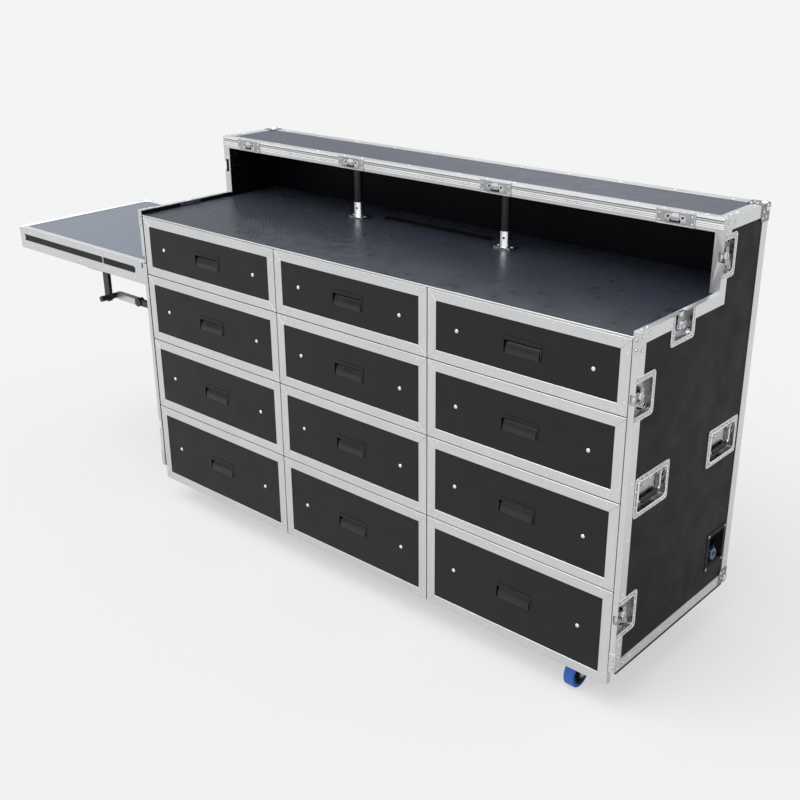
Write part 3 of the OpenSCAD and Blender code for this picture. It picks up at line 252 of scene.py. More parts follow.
class Finish(Nodes):
    """A material whose detail comes from nodes on the object's own coordinates."""

    def __init__(self, name, colour, metallic=0.0, level=0.5):
        self.material = bpy.data.materials.new(name)
        self.material.use_nodes = True
        super().__init__(self.material.node_tree)
        self.colour = colour
        self.shader = self.tree.nodes["Principled BSDF"]
        self.shader.inputs["Metallic"].default_value = metallic
        self.shader.inputs["Specular IOR Level"].default_value = level
        self.place = self.tree.nodes.new("ShaderNodeTexCoord").outputs["Object"]

    def stretched(self, scale, turn=(0.0, 0.0, 0.0)):
        return self.node("ShaderNodeMapping", Vector=self.place, Scale=scale, Rotation=turn).outputs[0]

    def noise(self, scale, detail=3.0, place=None, rough=0.5):
        return self.node("ShaderNodeTexNoise", Vector=place or self.place, Scale=scale, Detail=detail,
                         Roughness=rough).outputs["Fac"]

    def mixed(self, factor, first, second):
        """Between two colours, each given as a socket or as a share of the finish's own colour."""
        made = self.node("ShaderNodeMix", {"data_type": "RGBA"}, Factor=factor)
        for socket, value in ((made.inputs[6], first), (made.inputs[7], second)):
            self.feed(socket,
                      value if isinstance(value, bpy.types.NodeSocket) else (*shade(self.colour, value), 1.0))
        return made.outputs[2]

    def marked(self, tone, marks, strength, factor):
        """The tone with marks of another shade over it."""
        return self.mixed(self.maths("MULTIPLY", marks, strength), tone, factor)

    def done(self, tone, gloss, least, most, height, strength, distance=0.0003, low=0.3, high=0.7):
        """Joins up tone, roughness from least to most and bump, and gives the material."""
        self.feed(self.shader.inputs["Base Color"], tone)
        self.feed(self.shader.inputs["Roughness"], self.span(gloss, low, high, least, most))
        bump = self.node("ShaderNodeBump", Strength=strength, Distance=distance, Height=height)
        self.feed(self.shader.inputs["Normal"], bump.outputs[0])
        return self.material


def laminate(name, colour, wear, rough=0.42, spread=0.10, level=0.25):
    """Textured laminate: fine pebbled skin, cloudy tone and a few pale scuffs."""
    made = Finish(name, colour, level=level)
    tone = made.mixed(made.noise(3.0, 4.0), 1 - spread, 1 + spread)
    scuff = made.noise(9.0, 6.0, made.stretched((1.0, 0.35, 1.6), (0.4, 0.2, 0.7)), 0.62)
    tone = made.marked(tone, made.span(scuff, 0.66, 0.74), wear * 0.35, 2.2)
    pebble = made.node("ShaderNodeTexVoronoi", {"feature": "SMOOTH_F1"}, Vector=made.place, Scale=900.0,
                       Smoothness=0.6).outputs["Distance"]
    return made.done(tone, made.noise(14.0, 5.0), rough - 0.05, rough + 0.08, pebble, 0.30, 0.0004)


def brushed(name, colour, axis, wear, rough=0.34):
    """Drawn aluminium: fine streaks along one axis, with faint nicks across."""
    made = Finish(name, colour, 0.9)
    streak = made.noise(1.0, 3.0, made.stretched([6.0 if a == axis else 700.0 for a in "xyz"]))
    tone = made.mixed(made.span(streak, 0.3, 0.7), 0.92, 1.03)
    tone = made.marked(tone, made.span(made.noise(7.0, 5.0), 0.35, 0.75), 0.35, 0.84)
    tone = made.marked(tone, made.span(made.noise(60.0, 7.0, None, 0.7), 0.66, 0.72), wear * 0.6, 0.6)
    return made.done(tone, streak, rough - 0.06, rough + 0.10, streak, 0.10, 0.0002, 0.25, 0.75)


def plated(name, colour, wear, rough=0.24, metallic=1.0):
    """Plated steel: soft spangle, small scratches and dull patches."""
    made = Finish(name, colour, metallic)
    cloud = made.noise(18.0, 4.0)
    scratch = made.noise(40.0, 8.0, made.stretched((1.0, 9.0, 2.0), (0.7, 0.3, 0.2)), 0.75)
    tone = made.mixed(made.span(cloud, 0.3, 0.7), 0.90, 1.04)
    tone = made.marked(tone, made.span(scratch, 0.66, 0.74), wear * 0.5, 0.62)
    return made.done(tone, made.noise(90.0, 4.0), rough - 0.06, rough + 0.12, cloud, 0.03, 0.0004)


def moulded(name, colour, rough=0.38, grain=1400.0, spread=0.08, level=0.5):
    """Moulded plastic: fine spark grain and a slight change of gloss."""
    made = Finish(name, colour, level=level)
    tone = made.mixed(made.noise(18.0, 4.0), 1 - spread, 1 + spread)
    return made.done(tone, made.noise(35.0, 4.0), rough - 0.06, rough + 0.08, made.noise(grain, 2.0), 0.22)


def anti_slip(name, colour, rough, spread=0.12):
    """Glossy rubber: cloudy tone, fine grain and patches of wear that dull the gloss."""
    made = Finish(name, colour)
    tone = made.mixed(made.noise(5.0, 4.0), 1 - spread, 1 + spread)
    return made.done(tone, made.noise(22.0, 5.0), rough - 0.06, rough + 0.10, made.noise(900.0, 3.0), 0.2)


def studded(name, colour, pitch):
    """Anti-slip laminate: rows of small pressed studs, each painted lighter as its highlight."""
    made = Finish(name, colour, level=0.4)
    cells = made.node("ShaderNodeTexVoronoi", {"feature": "F1"},
                      Vector=made.stretched((1, 1, 1), (0, 0, 0.6)),
                      Scale=1 / pitch, Randomness=0.0).outputs["Distance"]
    stud = made.span(cells, 0.20, 0.34, 1.0, 0.0)
    tone = made.marked(made.mixed(made.noise(6.0, 4.0), 0.9, 1.1), stud, 0.5, 2.2)
    return made.done(tone, made.noise(16.0, 5.0), 0.36, 0.48, stud, 0.6, 0.0005)


def plywood(name, colour):
    """Birch plywood: long grain on the faces and thin layers on the edges."""
    made = Finish(name, colour, level=0.35)
    grain = made.noise(1.0, 6.0, made.stretched((8.0, 5.0, 90.0)), 0.6)
    layers = made.node("ShaderNodeTexWave", {"wave_type": "BANDS", "bands_direction": "Z"}, Scale=140.0,
                       Distortion=0.6, Vector=made.place).outputs["Fac"]
    tone = made.marked(made.mixed(made.span(grain, 0.35, 0.65), 0.78, 1.08), layers, 0.12, 0.45)
    return made.done(tone, grain, 0.48, 0.62, grain, 0.15)


def ribbed(name, colour, axis, pitch, rough=0.5):
    """Soft rubber with ribs across one axis, painted lighter on the crests and darker between them as
    highlight and shade.
    """
    made = Finish(name, colour, level=0.45)
    ribs = made.node("ShaderNodeTexWave", {"wave_type": "BANDS", "bands_direction": axis.upper()},
                     Scale=2 * math.pi / (20 * pitch), Distortion=0.0, Vector=made.place).outputs["Fac"]
    return made.done(made.mixed(ribs, 0.7, 1.25), made.noise(60.0, 4.0), rough - 0.06, rough + 0.08, ribs,
                     0.6, 0.0006)


LOOKS = {}


def build_looks(c):
    """Makes every finish from the colours in the sidebar."""
    wear, zinc, steel = c.wear, tuple(c.zinc), tuple(c.steel)
    for axis in "xyz":
        LOOKS["aluminium_" + axis] = brushed("drawn_aluminium_" + axis, tuple(c.aluminium), axis, wear)
    LOOKS.update(
        panel=laminate("black_laminate", linear(12, 15, 20), wear, 0.5, 0.10, 0.12),
        front=laminate("drawer_front_laminate", tuple(c.panel), wear * 0.7, 0.46, 0.07),
        raised_top=studded("raised_top_laminate", tuple(c.raised_top), 0.007),
        inside=laminate("inner_laminate", tuple(c.inside), wear * 0.4, 0.5),
        table=laminate("table_laminate", tuple(c.table), wear * 0.6, 0.38, 0.06),
        mat=anti_slip("anti_slip_mat", tuple(c.mat), 0.32),
        # Marks in the ridge colour: painted sheen
        mat_ridge=anti_slip("mat_marks", tuple(c.mat_ridge), 0.3),
        zinc=plated("bright_zinc", zinc, wear),
        brace=plated("brace_steel", shade(zinc, 0.92), wear, 0.34, 0.9),
        ball=plated("ball_steel", zinc, wear, 0.2),
        dish=plated("dish_steel", shade(zinc, 0.72), wear, 0.26),
        # Pan steel, darker than the dish, goes on the faces set back in the recess: painted shade
        pan=plated("pan_steel", shade(zinc, 0.58), wear, 0.24),
        # The seat finish is painted shade: grey rings round rivets and balls, the tongue's grey bands and the
        # key wings' hollows
        seat=moulded("rivet_seat", linear(92, 93, 95), 0.5, 900.0, 0.2, 0.3),
        # Rivet steel is whiter and less metallic than the plating, so small heads, hooks and beads read as
        # bright dots: painted highlight on real steel
        rivet=plated("rivet_steel", shade(zinc, 1.16), wear * 0.3, 0.3, 0.35),
        pull=moulded("pull_moulding", linear(14, 14, 16), 0.24, 1600.0, 0.06),
        steel=plated("corner_steel", steel, wear, 0.28),
        # The rear leaves' steel is darkened to stand for the dark reflection they show: painted reflection
        leaf=plated("corner_leaf", shade(steel, 0.55), wear, 0.3),
        # The bright finish, near white, is a painted highlight on beads and on the tongue's bands
        bright=plated("bright_bead", linear(252, 252, 252), wear * 0.3, 0.3, 0.25),
        galvanised=plated("galvanised_steel", shade(steel, 0.9), wear, 0.36),
        black_metal=moulded("black_enamel", linear(28, 28, 30), 0.3, 700.0),
        plastic=moulded("black_moulding", tuple(c.plastic), 0.55, 1400.0, 0.10, 0.2),
        # The dark finish is painted shade: plates, rings and crosses in it stand for holes, slots, gaps and
        # recesses
        dark=moulded("dark_hole", linear(9, 9, 10), 0.7, 900.0, 0.2, 0.2),
        rubber=ribbed("grip_rubber", tuple(c.rubber), "y", 0.006),
        tread=moulded("blue_tyre", tuple(c.tread), 0.4, 500.0, 0.06),
        connector=moulded("blue_connector", tuple(c.connector), 0.35, 900.0, 0.06),
        connector_rim=moulded("pale_blue_rim", linear(104, 132, 164), 0.3, 900.0, 0.06),
        wood=plywood("birch_plywood", tuple(c.wood)),
    )


# Shapes, in millimetres


def circle(radius, count, height=0.0):
    """Points round the third axis."""
    return [(radius * math.cos(2 * math.pi * k / count), radius * math.sin(2 * math.pi * k / count), height)
            for k in range(count)]


def half_round(wide, tall, steps):
    """Points of a half ellipse from its lowest to its highest, bulging along the first axis."""
    return [(wide * math.cos(a), tall * math.sin(a))
            for a in (math.pi * (k / steps - 0.5) for k in range(steps + 1))]


def round_outline(w, h, r, steps=6):
    """A rectangle with round corners about its middle."""
    made = []
    for quarter, (sx, sy) in enumerate(((1, 1), (-1, 1), (-1, -1), (1, -1))):
        for k in range(steps + 1):
            a = math.pi / 2 * (quarter + k / steps)
            made.append((sx * (w / 2 - r) + r * math.cos(a), sy * (h / 2 - r) + r * math.sin(a)))
    return made


def soft_block(low, high, soft=0.0):
    made = bmesh.new()
    size = Vector(high) - Vector(low)
    place = Matrix.Translation((Vector(low) + Vector(high)) / 2) @ Matrix.Diagonal((*size, 1.0))
    bmesh.ops.create_cube(made, size=1.0, matrix=place)
    return softened(made, made.edges[:], soft)


def softened(made, edges, soft):
    if soft:
        bmesh.ops.bevel(made, geom=edges, offset=soft, segments=2, profile=0.5, affect="EDGES",
                        clamp_overlap=True)
    return made


def prism(outline, low, high, soft=0.0):
    """A flat outline of two coordinates, thick from low to high on the third."""
    made = bmesh.new()
    bottom = [made.verts.new((x, y, low)) for x, y in outline]
    top = [made.verts.new((x, y, high)) for x, y in outline]
    made.faces.new(bottom[::-1])
    upper = made.faces.new(top)
    for i in range(len(outline)):
        j = (i + 1) % len(outline)
        made.faces.new((bottom[i], bottom[j], top[j], top[i]))
    return softened(made, list(upper.edges), soft)


def turned(profile, sides=32):
    """A profile of (radius, height) pairs turned round the third axis, closed at both ends."""
    made = bmesh.new()
    rings = []
    for radius, height in profile:
        ring = [(0.0, 0.0, height)] if radius < 1e-6 else circle(radius, sides, height)
        rings.append([made.verts.new(point) for point in ring])
    for lower, upper in zip(rings, rings[1:]):
        for k in range(sides):
            j = (k + 1) % sides
            corners = [lower[k % len(lower)], lower[j % len(lower)], upper[j % len(upper)],
                       upper[k % len(upper)]]
            unique = list(dict.fromkeys(corners))
            if len(unique) > 2:
                made.faces.new(unique)
    for ring in (rings[0], rings[-1]):
        if len(ring) > 1:
            made.faces.new(ring)
    return made


def disc(radius, low, high, sides):
    return turned(((0.0, low), (radius, low), (radius, high), (0.0, high)), sides)


def swept(path, radius, sides=6, closed=True):
    """A round wire along a path."""
    made = bmesh.new()
    points = [Vector(p) for p in path]
    count = len(points)
    rings = []
    across = None
    for i, point in enumerate(points):
        before = points[i - 1] if i or closed else point
        after = points[(i + 1) % count] if i < count - 1 or closed else point
        along_wire = (after - before).normalized()
        if across is None:
            across = along_wire.orthogonal().normalized()
        across = (across - along_wire * across.dot(along_wire)).normalized()
        other = along_wire.cross(across)
        rings.append([made.verts.new(point + radius * (math.cos(2 * math.pi * k / sides) * across
                                                       + math.sin(2 * math.pi * k / sides) * other))
                      for k in range(sides)])
    pairs = list(zip(rings, rings[1:])) + ([(rings[-1], rings[0])] if closed else [])
    for first, second in pairs:
        shift = 0
        if first is rings[-1]:
            shift = min(range(sides), key=lambda s: (second[s].co - first[0].co).length)
        for k in range(sides):
            j = (k + 1) % sides
            made.faces.new((first[k], first[j], second[(j + shift) % sides], second[(k + shift) % sides]))
    if not closed:
        made.faces.new(rings[0][::-1])
        made.faces.new(rings[-1])
    return made


def ring_plate(outer, inner, low, high):
    """A flat plate between two outlines with as many points each."""
    made = bmesh.new()
    rings = [[made.verts.new((x, y, z)) for x, y in outline] for outline, z in
             ((outer, low), (outer, high), (inner, high), (inner, low))]
    for first, second in zip(rings, rings[1:] + rings[:1]):
        for i in range(len(outer)):
            j = (i + 1) % len(outer)
            made.faces.new((first[i], first[j], second[j], second[i]))
    return made


def shifted(x, y=0.0, z=0.0):
    return Matrix.Translation((x, y, z))


def facing_x(x, y, z, turn=0.0, side=1):
    """Takes a shape drawn flat (depth, height, outwards) to the face of a side: x outwards."""
    basis = Matrix(((0, 0, 1, 0), (1, 0, 0, 0), (0, 1, 0, 0), (0, 0, 0, 1)))
    turned = Matrix.Rotation(math.radians(turn), 4, "X")
    return Matrix.Diagonal((side, 1, 1, 1)) @ shifted(x, y, z) @ turned @ basis


def facing_front(x, y, z):
    """Takes a shape drawn flat (across, height, outwards) to the front: y towards the back."""
    return shifted(x, y, z) @ Matrix(((1, 0, 0, 0), (0, 0, -1, 0), (0, 1, 0, 0), (0, 0, 0, 1)))


# Pieces made from shapes and nodes


def settle(obj, body, replaces=()):
    """Lets a linked piece ride on its body and stand for its nodes."""
    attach(obj, body)
    if replaces:
        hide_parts(*replaces)


def keep(mesh, name, looks, angle, body, replaces=()):
    """Makes a piece of a finished mesh."""
    holder = bpy.data.meshes.new(name)
    mesh.to_mesh(holder)
    mesh.free()
    for finish in looks:
        holder.materials.append(LOOKS[finish])
    holder.set_sharp_from_angle(angle=math.radians(angle))
    obj = bpy.data.objects.new(name, holder)
    bpy.context.scene.collection.objects.link(obj)
    settle(obj, body, replaces)


def finish_face(face, finish, looks):
    if finish not in looks:
        looks.append(finish)
    face.material_index = looks.index(finish)
    face.smooth = True


class Maker:
    """Gathers the solids of one piece, in millimetres of the case, each with its finish."""

    def __init__(self):
        self.mesh = bmesh.new()
        self.looks = []

    def add(self, part, finish, place=None):
        if place is not None:
            bmesh.ops.transform(part, matrix=place, verts=part.verts)
        bmesh.ops.recalc_face_normals(part, faces=part.faces)
        for face in part.faces:
            finish_face(face, finish, self.looks)
        holder = bpy.data.meshes.new("part")
        part.to_mesh(holder)
        part.free()
        self.mesh.from_mesh(holder)
        bpy.data.meshes.remove(holder)

    def piece(self, name, body, slot, replaces=()):
        place = Matrix.Translation(ORIGIN) @ Matrix.Scale(MM, 4)
        bmesh.ops.transform(self.mesh, matrix=place, verts=self.mesh.verts)
        keep(self.mesh, name, self.looks, 34, body, replaces)


def solids_of(mesh):
    """The separate solids of a merged mesh, as lists of faces."""
    left = set(mesh.faces)
    found = []
    for start in mesh.faces:
        if start not in left:
            continue
        left.remove(start)
        stack, group = [start], [start]
        while stack:
            for edge in stack.pop().edges:
                for face in edge.link_faces:
                    if face in left:
                        left.remove(face)
                        stack.append(face)
                        group.append(face)
        found.append(group)
    return found


def dress(node, pick, soft=0.0, deep=None):
    """A merged copy of a node, whose solids each get the finish that pick names from their box.

    A solid whose finish is None is left out. Faces behind the side panels' faces take the finish deep.
    """
    mesh = bmesh.new()
    mesh.from_mesh(NODES[node].data)
    bmesh.ops.remove_doubles(mesh, verts=mesh.verts, dist=2e-6)
    bmesh.ops.dissolve_limit(mesh, angle_limit=math.radians(0.3), verts=mesh.verts, edges=mesh.edges)
    looks = []
    for group in solids_of(mesh):
        corners = [(v.co - ORIGIN) / MM for f in group for v in f.verts]
        low, high = (Vector([edge(c[i] for c in corners) for i in range(3)]) for edge in (min, max))
        finish = pick(low, high)
        if finish is None:
            bmesh.ops.delete(mesh, geom=group, context="FACES")
            continue
        for face in group:
            inward = abs((face.calc_center_median().x - ORIGIN.x) / MM) < SIDE_OUT - 2
            finish_face(face, deep if deep and inward else finish, looks)
    if soft:
        sharp = [e for e in mesh.edges if len(e.link_faces) == 2 and e.calc_face_angle() > math.radians(50)]
        # With material=-1 an edge takes the finish of the faces beside it
        bmesh.ops.bevel(mesh, geom=sharp, offset=soft * MM, segments=1, profile=0.5, affect="EDGES",
                        clamp_overlap=True, material=-1)
    keep(mesh, node + "_dressed", looks, 30, BODY_OF[node], (node,))


def paint(node, finish):
    """Gives a whole CAD node one finish."""
    mesh = NODES[node].data
    mesh.materials.clear()
    mesh.materials.append(LOOKS[finish])


def drawn(low, high):
    """The finish of an aluminium bar, brushed along its length."""
    size = high - low
    return "aluminium_" + "xyz"[max(range(3), key=lambda i: size[i])]


# Geometry Nodes for what repeats


class Tree(Nodes):
    """A Geometry Nodes tree with named inputs, which puts an instance on each point."""

    def __init__(self, name, **inputs):
        super().__init__(bpy.data.node_groups.new(name, "GeometryNodeTree"))
        self.tree.is_modifier = True
        face = self.tree.interface
        face.new_socket("Geometry", in_out="INPUT", socket_type="NodeSocketGeometry")
        for label, value in inputs.items():
            kind = "NodeSocketInt" if isinstance(value, int) else "NodeSocketFloat"
            face.new_socket(label, in_out="INPUT", socket_type=kind).default_value = value
        face.new_socket("Finish", in_out="INPUT", socket_type="NodeSocketMaterial")
        face.new_socket("Geometry", in_out="OUTPUT", socket_type="NodeSocketGeometry")
        self.given = self.tree.nodes.new("NodeGroupInput").outputs
        self.end = self.tree.nodes.new("NodeGroupOutput")

    def times(self, first, factor):
        return self.maths("MULTIPLY", first, factor)

    def vector(self, x, y, z):
        return self.node("ShaderNodeCombineXYZ", X=x, Y=y, Z=z).outputs[0]

    def cube(self, x, y, z):
        return self.node("GeometryNodeMeshCube", Size=self.vector(x, y, z)).outputs[0]

    def ball(self, segments, rings, radius, x, y, z):
        """A ball, stretched."""
        ball = self.node("GeometryNodeMeshUVSphere", Segments=segments, Rings=rings, Radius=radius).outputs[0]
        return self.node("GeometryNodeTransform", Geometry=ball, Scale=self.vector(x, y, z)).outputs[0]

    def joined(self, *parts):
        made = self.node("GeometryNodeJoinGeometry")
        for part in parts:
            self.tree.links.new(part, made.inputs[0])
        return made.outputs[0]

    def facing(self):
        return self.node("GeometryNodeInputNamedAttribute", {"data_type": "FLOAT_VECTOR"},
                         Name="facing").outputs[0]

    def turn(self, way, axis="Z"):
        return self.node("FunctionNodeAlignRotationToVector", {"axis": axis}, Vector=way).outputs[0]

    def copies(self, instance, turn=None, smooth=True):
        """Copies that turn their height to the point's facing, as one mesh in the given finish."""
        copies = self.node("GeometryNodeInstanceOnPoints", Points=self.given["Geometry"], Instance=instance,
                           Rotation=turn or self.turn(self.facing())).outputs[0]
        real = self.node("GeometryNodeRealizeInstances", Geometry=copies).outputs[0]
        soft = self.node("GeometryNodeSetShadeSmooth", Geometry=real, Shade_Smooth=smooth).outputs[0]
        made = self.node("GeometryNodeSetMaterial", Geometry=soft, Material=self.given["Finish"])
        self.tree.links.new(made.outputs[0], self.end.inputs[0])
        return self.tree


def dome_heads():
    """A low dome, as the head of a rivet or bolt."""
    tree = Tree("dome_heads", Diameter=0.007, Height=0.0018, Sides=12)
    half = tree.times(tree.given["Diameter"], 0.5)
    return tree.copies(tree.ball(tree.given["Sides"], 7, 1.0, half, half, tree.given["Height"]))


def screw_heads():
    """A flat screw head with a low dome."""
    tree = Tree("screw_heads", Diameter=0.007, Height=0.0012, Sides=14)
    radius = tree.times(tree.given["Diameter"], 0.5)
    disc = tree.node("GeometryNodeMeshCylinder", Vertices=tree.given["Sides"], Radius=radius,
                     Depth=tree.times(tree.given["Height"], 2.0)).outputs[0]
    inner = tree.times(radius, 0.8)
    dome = tree.ball(tree.given["Sides"], 6, 1.0, inner, inner, tree.times(tree.given["Height"], 1.35))
    return tree.copies(tree.joined(disc, dome), smooth=False)


def screw_crosses():
    """A thin cross in the dark finish, painted as the shade in a screw's recess."""
    tree = Tree("screw_crosses", Diameter=0.007, Height=0.0012)
    long, thin = (tree.times(tree.given["Diameter"], share) for share in (0.55, 0.12))
    tall = tree.times(tree.given["Height"], 2.9)
    return tree.copies(tree.joined(tree.cube(long, thin, tall), tree.cube(thin, long, tall)), smooth=False)


def mat_bars():
    """A low rounded bar, lying along the point's facing."""
    tree = Tree("mat_bars", Length=0.008, Width=0.003, Height=0.0007)
    bar = tree.ball(6, 3, 0.5, tree.given["Length"], tree.given["Width"],
                    tree.times(tree.given["Height"], 2.0))
    return tree.copies(bar, tree.turn(tree.facing(), "X"))


def hub_ribs():
    """Ribs in a ring across the point's facing, as on a moulded hub."""
    tree = Tree("hub_ribs", Count=10, Inner=0.01, Outer=0.025, Width=0.0022, Depth=0.003)
    inner, outer = tree.given["Inner"], tree.given["Outer"]
    ring = tree.node("GeometryNodeMeshCircle", Vertices=tree.given["Count"],
                     Radius=tree.times(tree.maths("ADD", inner, outer), 0.5))
    rib = tree.cube(tree.maths("SUBTRACT", outer, inner), tree.given["Width"], tree.given["Depth"])
    way = tree.turn(tree.node("GeometryNodeInputPosition").outputs[0], "X")
    star = tree.node("GeometryNodeInstanceOnPoints", Points=ring.outputs[0], Instance=rib,
                     Rotation=way).outputs[0]
    return tree.copies(tree.node("GeometryNodeRealizeInstances", Geometry=star).outputs[0], smooth=False)


def coil_springs():
    """A coil spring, wound along the point's facing."""
    tree = Tree("coil_springs", Turns=3.5, Radius=0.004, Length=0.009, Wire=0.0007)
    radius = tree.given["Radius"]
    coil = tree.node("GeometryNodeCurveSpiral", Resolution=14, Rotations=tree.given["Turns"],
                     Start_Radius=radius, End_Radius=radius, Height=tree.given["Length"])
    wire = tree.node("GeometryNodeCurvePrimitiveCircle", Resolution=6, Radius=tree.given["Wire"])
    return tree.copies(tree.node("GeometryNodeCurveToMesh", Curve=coil.outputs[0],
                                 Profile_Curve=wire.outputs[0], Fill_Caps=True).outputs[0])


def brush_bristles():
    """A thin bristle, leaning a little at random."""
    tree = Tree("brush_bristles", Length=0.007, Width=0.0011, Lean=0.25)
    width, lean = tree.given["Width"], tree.given["Lean"]
    back = tree.times(lean, -1.0)
    stray = tree.node("FunctionNodeRandomValue", {"data_type": "FLOAT_VECTOR"}, Seed=7,
                      Min=tree.vector(back, back, back), Max=tree.vector(lean, lean, lean)).outputs[0]
    way = tree.feed_all(tree.node("ShaderNodeVectorMath", {"operation": "ADD"}), tree.facing(), stray)
    return tree.copies(tree.cube(width, width, tree.given["Length"]), tree.turn(way), False)


TREES = {}


def scatter(name, body, tree, places, finish, slot=None, **sizes):
    """Runs a tree on points (place in case millimetres, facing) and keeps the result as a plain mesh."""
    if tree not in TREES:
        TREES[tree] = tree()
    points = bpy.data.meshes.new(name + "_points")
    points.from_pydata([tuple(ORIGIN + Vector(p) * MM) for p, _ in places], [], [])
    facing = points.attributes.new("facing", "FLOAT_VECTOR", "POINT")
    facing.data.foreach_set("vector", [v for _, way in places for v in way])
    obj = bpy.data.objects.new(name, points)
    bpy.context.scene.collection.objects.link(obj)
    modifier = obj.modifiers.new("nodes", "NODES")
    modifier.node_group = TREES[tree]
    sizes["Finish"] = LOOKS[finish]
    for socket in TREES[tree].interface.items_tree:
        if socket.in_out == "INPUT" and socket.name in sizes:
            modifier[socket.identifier] = sizes[socket.name]
    made = bpy.data.meshes.new_from_object(obj.evaluated_get(bpy.context.evaluated_depsgraph_get()))
    obj.modifiers.remove(modifier)
    obj.data = made
    bpy.data.meshes.remove(points)
    made.name = name
    # The shapes that the nodes copy bring an empty first slot
    made.materials.clear()
    made.materials.append(LOOKS[finish])
    settle(obj, body)


def along(start, end, pitch):
    """Evenly spaced places from start to end, no further apart than pitch."""
    start, end = Vector(start), Vector(end)
    count = max(1, math.ceil((end - start).length / pitch))
    return [start.lerp(end, k / count) for k in range(count + 1)]


def domes(name, body, places, size, rise, finish="rivet", slot="zinc"):
    """Dome heads of a diameter, each as high as that share of it."""
    scatter(name, body, dome_heads, places, finish, slot, Diameter=size, Height=size * rise)


def screws(name, places, size):
    """Screw heads on the case, each with a dark cross painted as the shade of its recess."""
    height = size * 0.17
    scatter(name, "case", screw_heads, places, "rivet", "zinc", Diameter=size, Height=height)
    scatter(name + "_crosses", "case", screw_crosses, places, "dark", None, Diameter=size, Height=height)


def rivet_heads(name, places, size, rise=0.22):
    """Rivet heads on the case, each on a flat grey ring painted round it as the shade of its crevice."""
    domes(name, "case", places, size, rise)
    scatter(name + "_painted_shade_rings", "case", dome_heads, places, "seat", None, Diameter=size * 1.4, Height=0.00012,
            Sides=10)


# Pieces


def within(p, low, high, margin):
    """Whether a place lies over a box that is wider by the margin."""
    return low.x - margin < p.x < high.x + margin and low.y - margin < p.y < high.y + margin


class DressPanels(bpy.types.Operator):
    """Laminate on the sides, the inside and the base, and the mat on the worktop"""

    bl_idname = "roadcase.dress_panels"
    bl_label = "Panels and worktop"

    def execute(self, context):
        def panel_finish(low, high):
            if low.z > TOP_SKIN - 40:
                return "raised_top"
            return "panel" if low.z > WORK_Z or low.y > 500 else "inside"

        sizes = context.scene.hardware_sizes
        paint("side_panels", "panel")
        dress("carcass_panels", panel_finish)
        dress("worktop", lambda low, high: "mat" if high.z > WORK_Z - 1 else "inside")
        paint("cable_slot", "plastic")
        self.bristles(sizes.bristles)
        self.mat_marks(sizes.mat_pitch)
        return {"FINISHED"}

    def mat_marks(self, mat_pitch):
        """Raised marks in slanting rows over the mat, clear of the posts' feet and the cable slot, coloured
        lighter than the mat as painted sheen.
        """
        pitch = mat_pitch / MM
        low, high = case_box("worktop")
        slot = case_box("cable_slot")
        turn = math.radians(MAT_TURN)
        row = Vector((math.cos(turn), math.sin(turn), 0.0))
        across = Vector((-math.sin(turn), math.cos(turn), 0.0))
        centre = Vector(((low.x + high.x) / 2, (low.y + high.y) / 2, high.z))
        steps = int(math.hypot(high.x - low.x, high.y - low.y) / pitch / 2) + 1
        places = {side + end: [] for side in ("left_", "right_") for end in ("front", "rear")}
        for i in range(-steps - 1, steps + 2):
            for j in range(-steps, steps + 1):
                p = centre + row * (i + j % 2 / 2) * pitch + across * j * pitch
                on_foot = any(abs(p.x - x) < FOOT_GAP_X and abs(p.y - POST_Y) < FOOT_GAP_Y for x in POSTS_X)
                if within(p, low, high, -MAT_EDGE) and not within(p, *slot, SLOT_GAP) and not on_foot:
                    quarter = ("left_" if p.x < 0 else "right_") + ("front" if p.y < centre.y else "rear")
                    places[quarter].append((p, tuple(row)))
        for quarter, marks in places.items():
            scatter("mat_marks_" + quarter, "case", mat_bars, marks, "mat_ridge", "mat", Height=0.0006,
                    Length=mat_pitch * MAT_BAR_L, Width=mat_pitch * MAT_BAR_W)

    def bristles(self, count):
        """Two rows of bristles that close the cable slot."""
        low, high = case_box("cable_slot")
        z, pitch = high.z - 2.2, (high.x - low.x) / count
        places = [(p, (0.0, way, 0.05)) for y, way in ((low.y + 9.0, 1.0), (high.y - 9.0, -1.0))
                  for p in along((low.x + 8, y, z), (high.x - 8, y, z), pitch)]
        scatter("slot_brush", "case", brush_bristles, places, "plastic", "black_plastic", Length=0.0078)


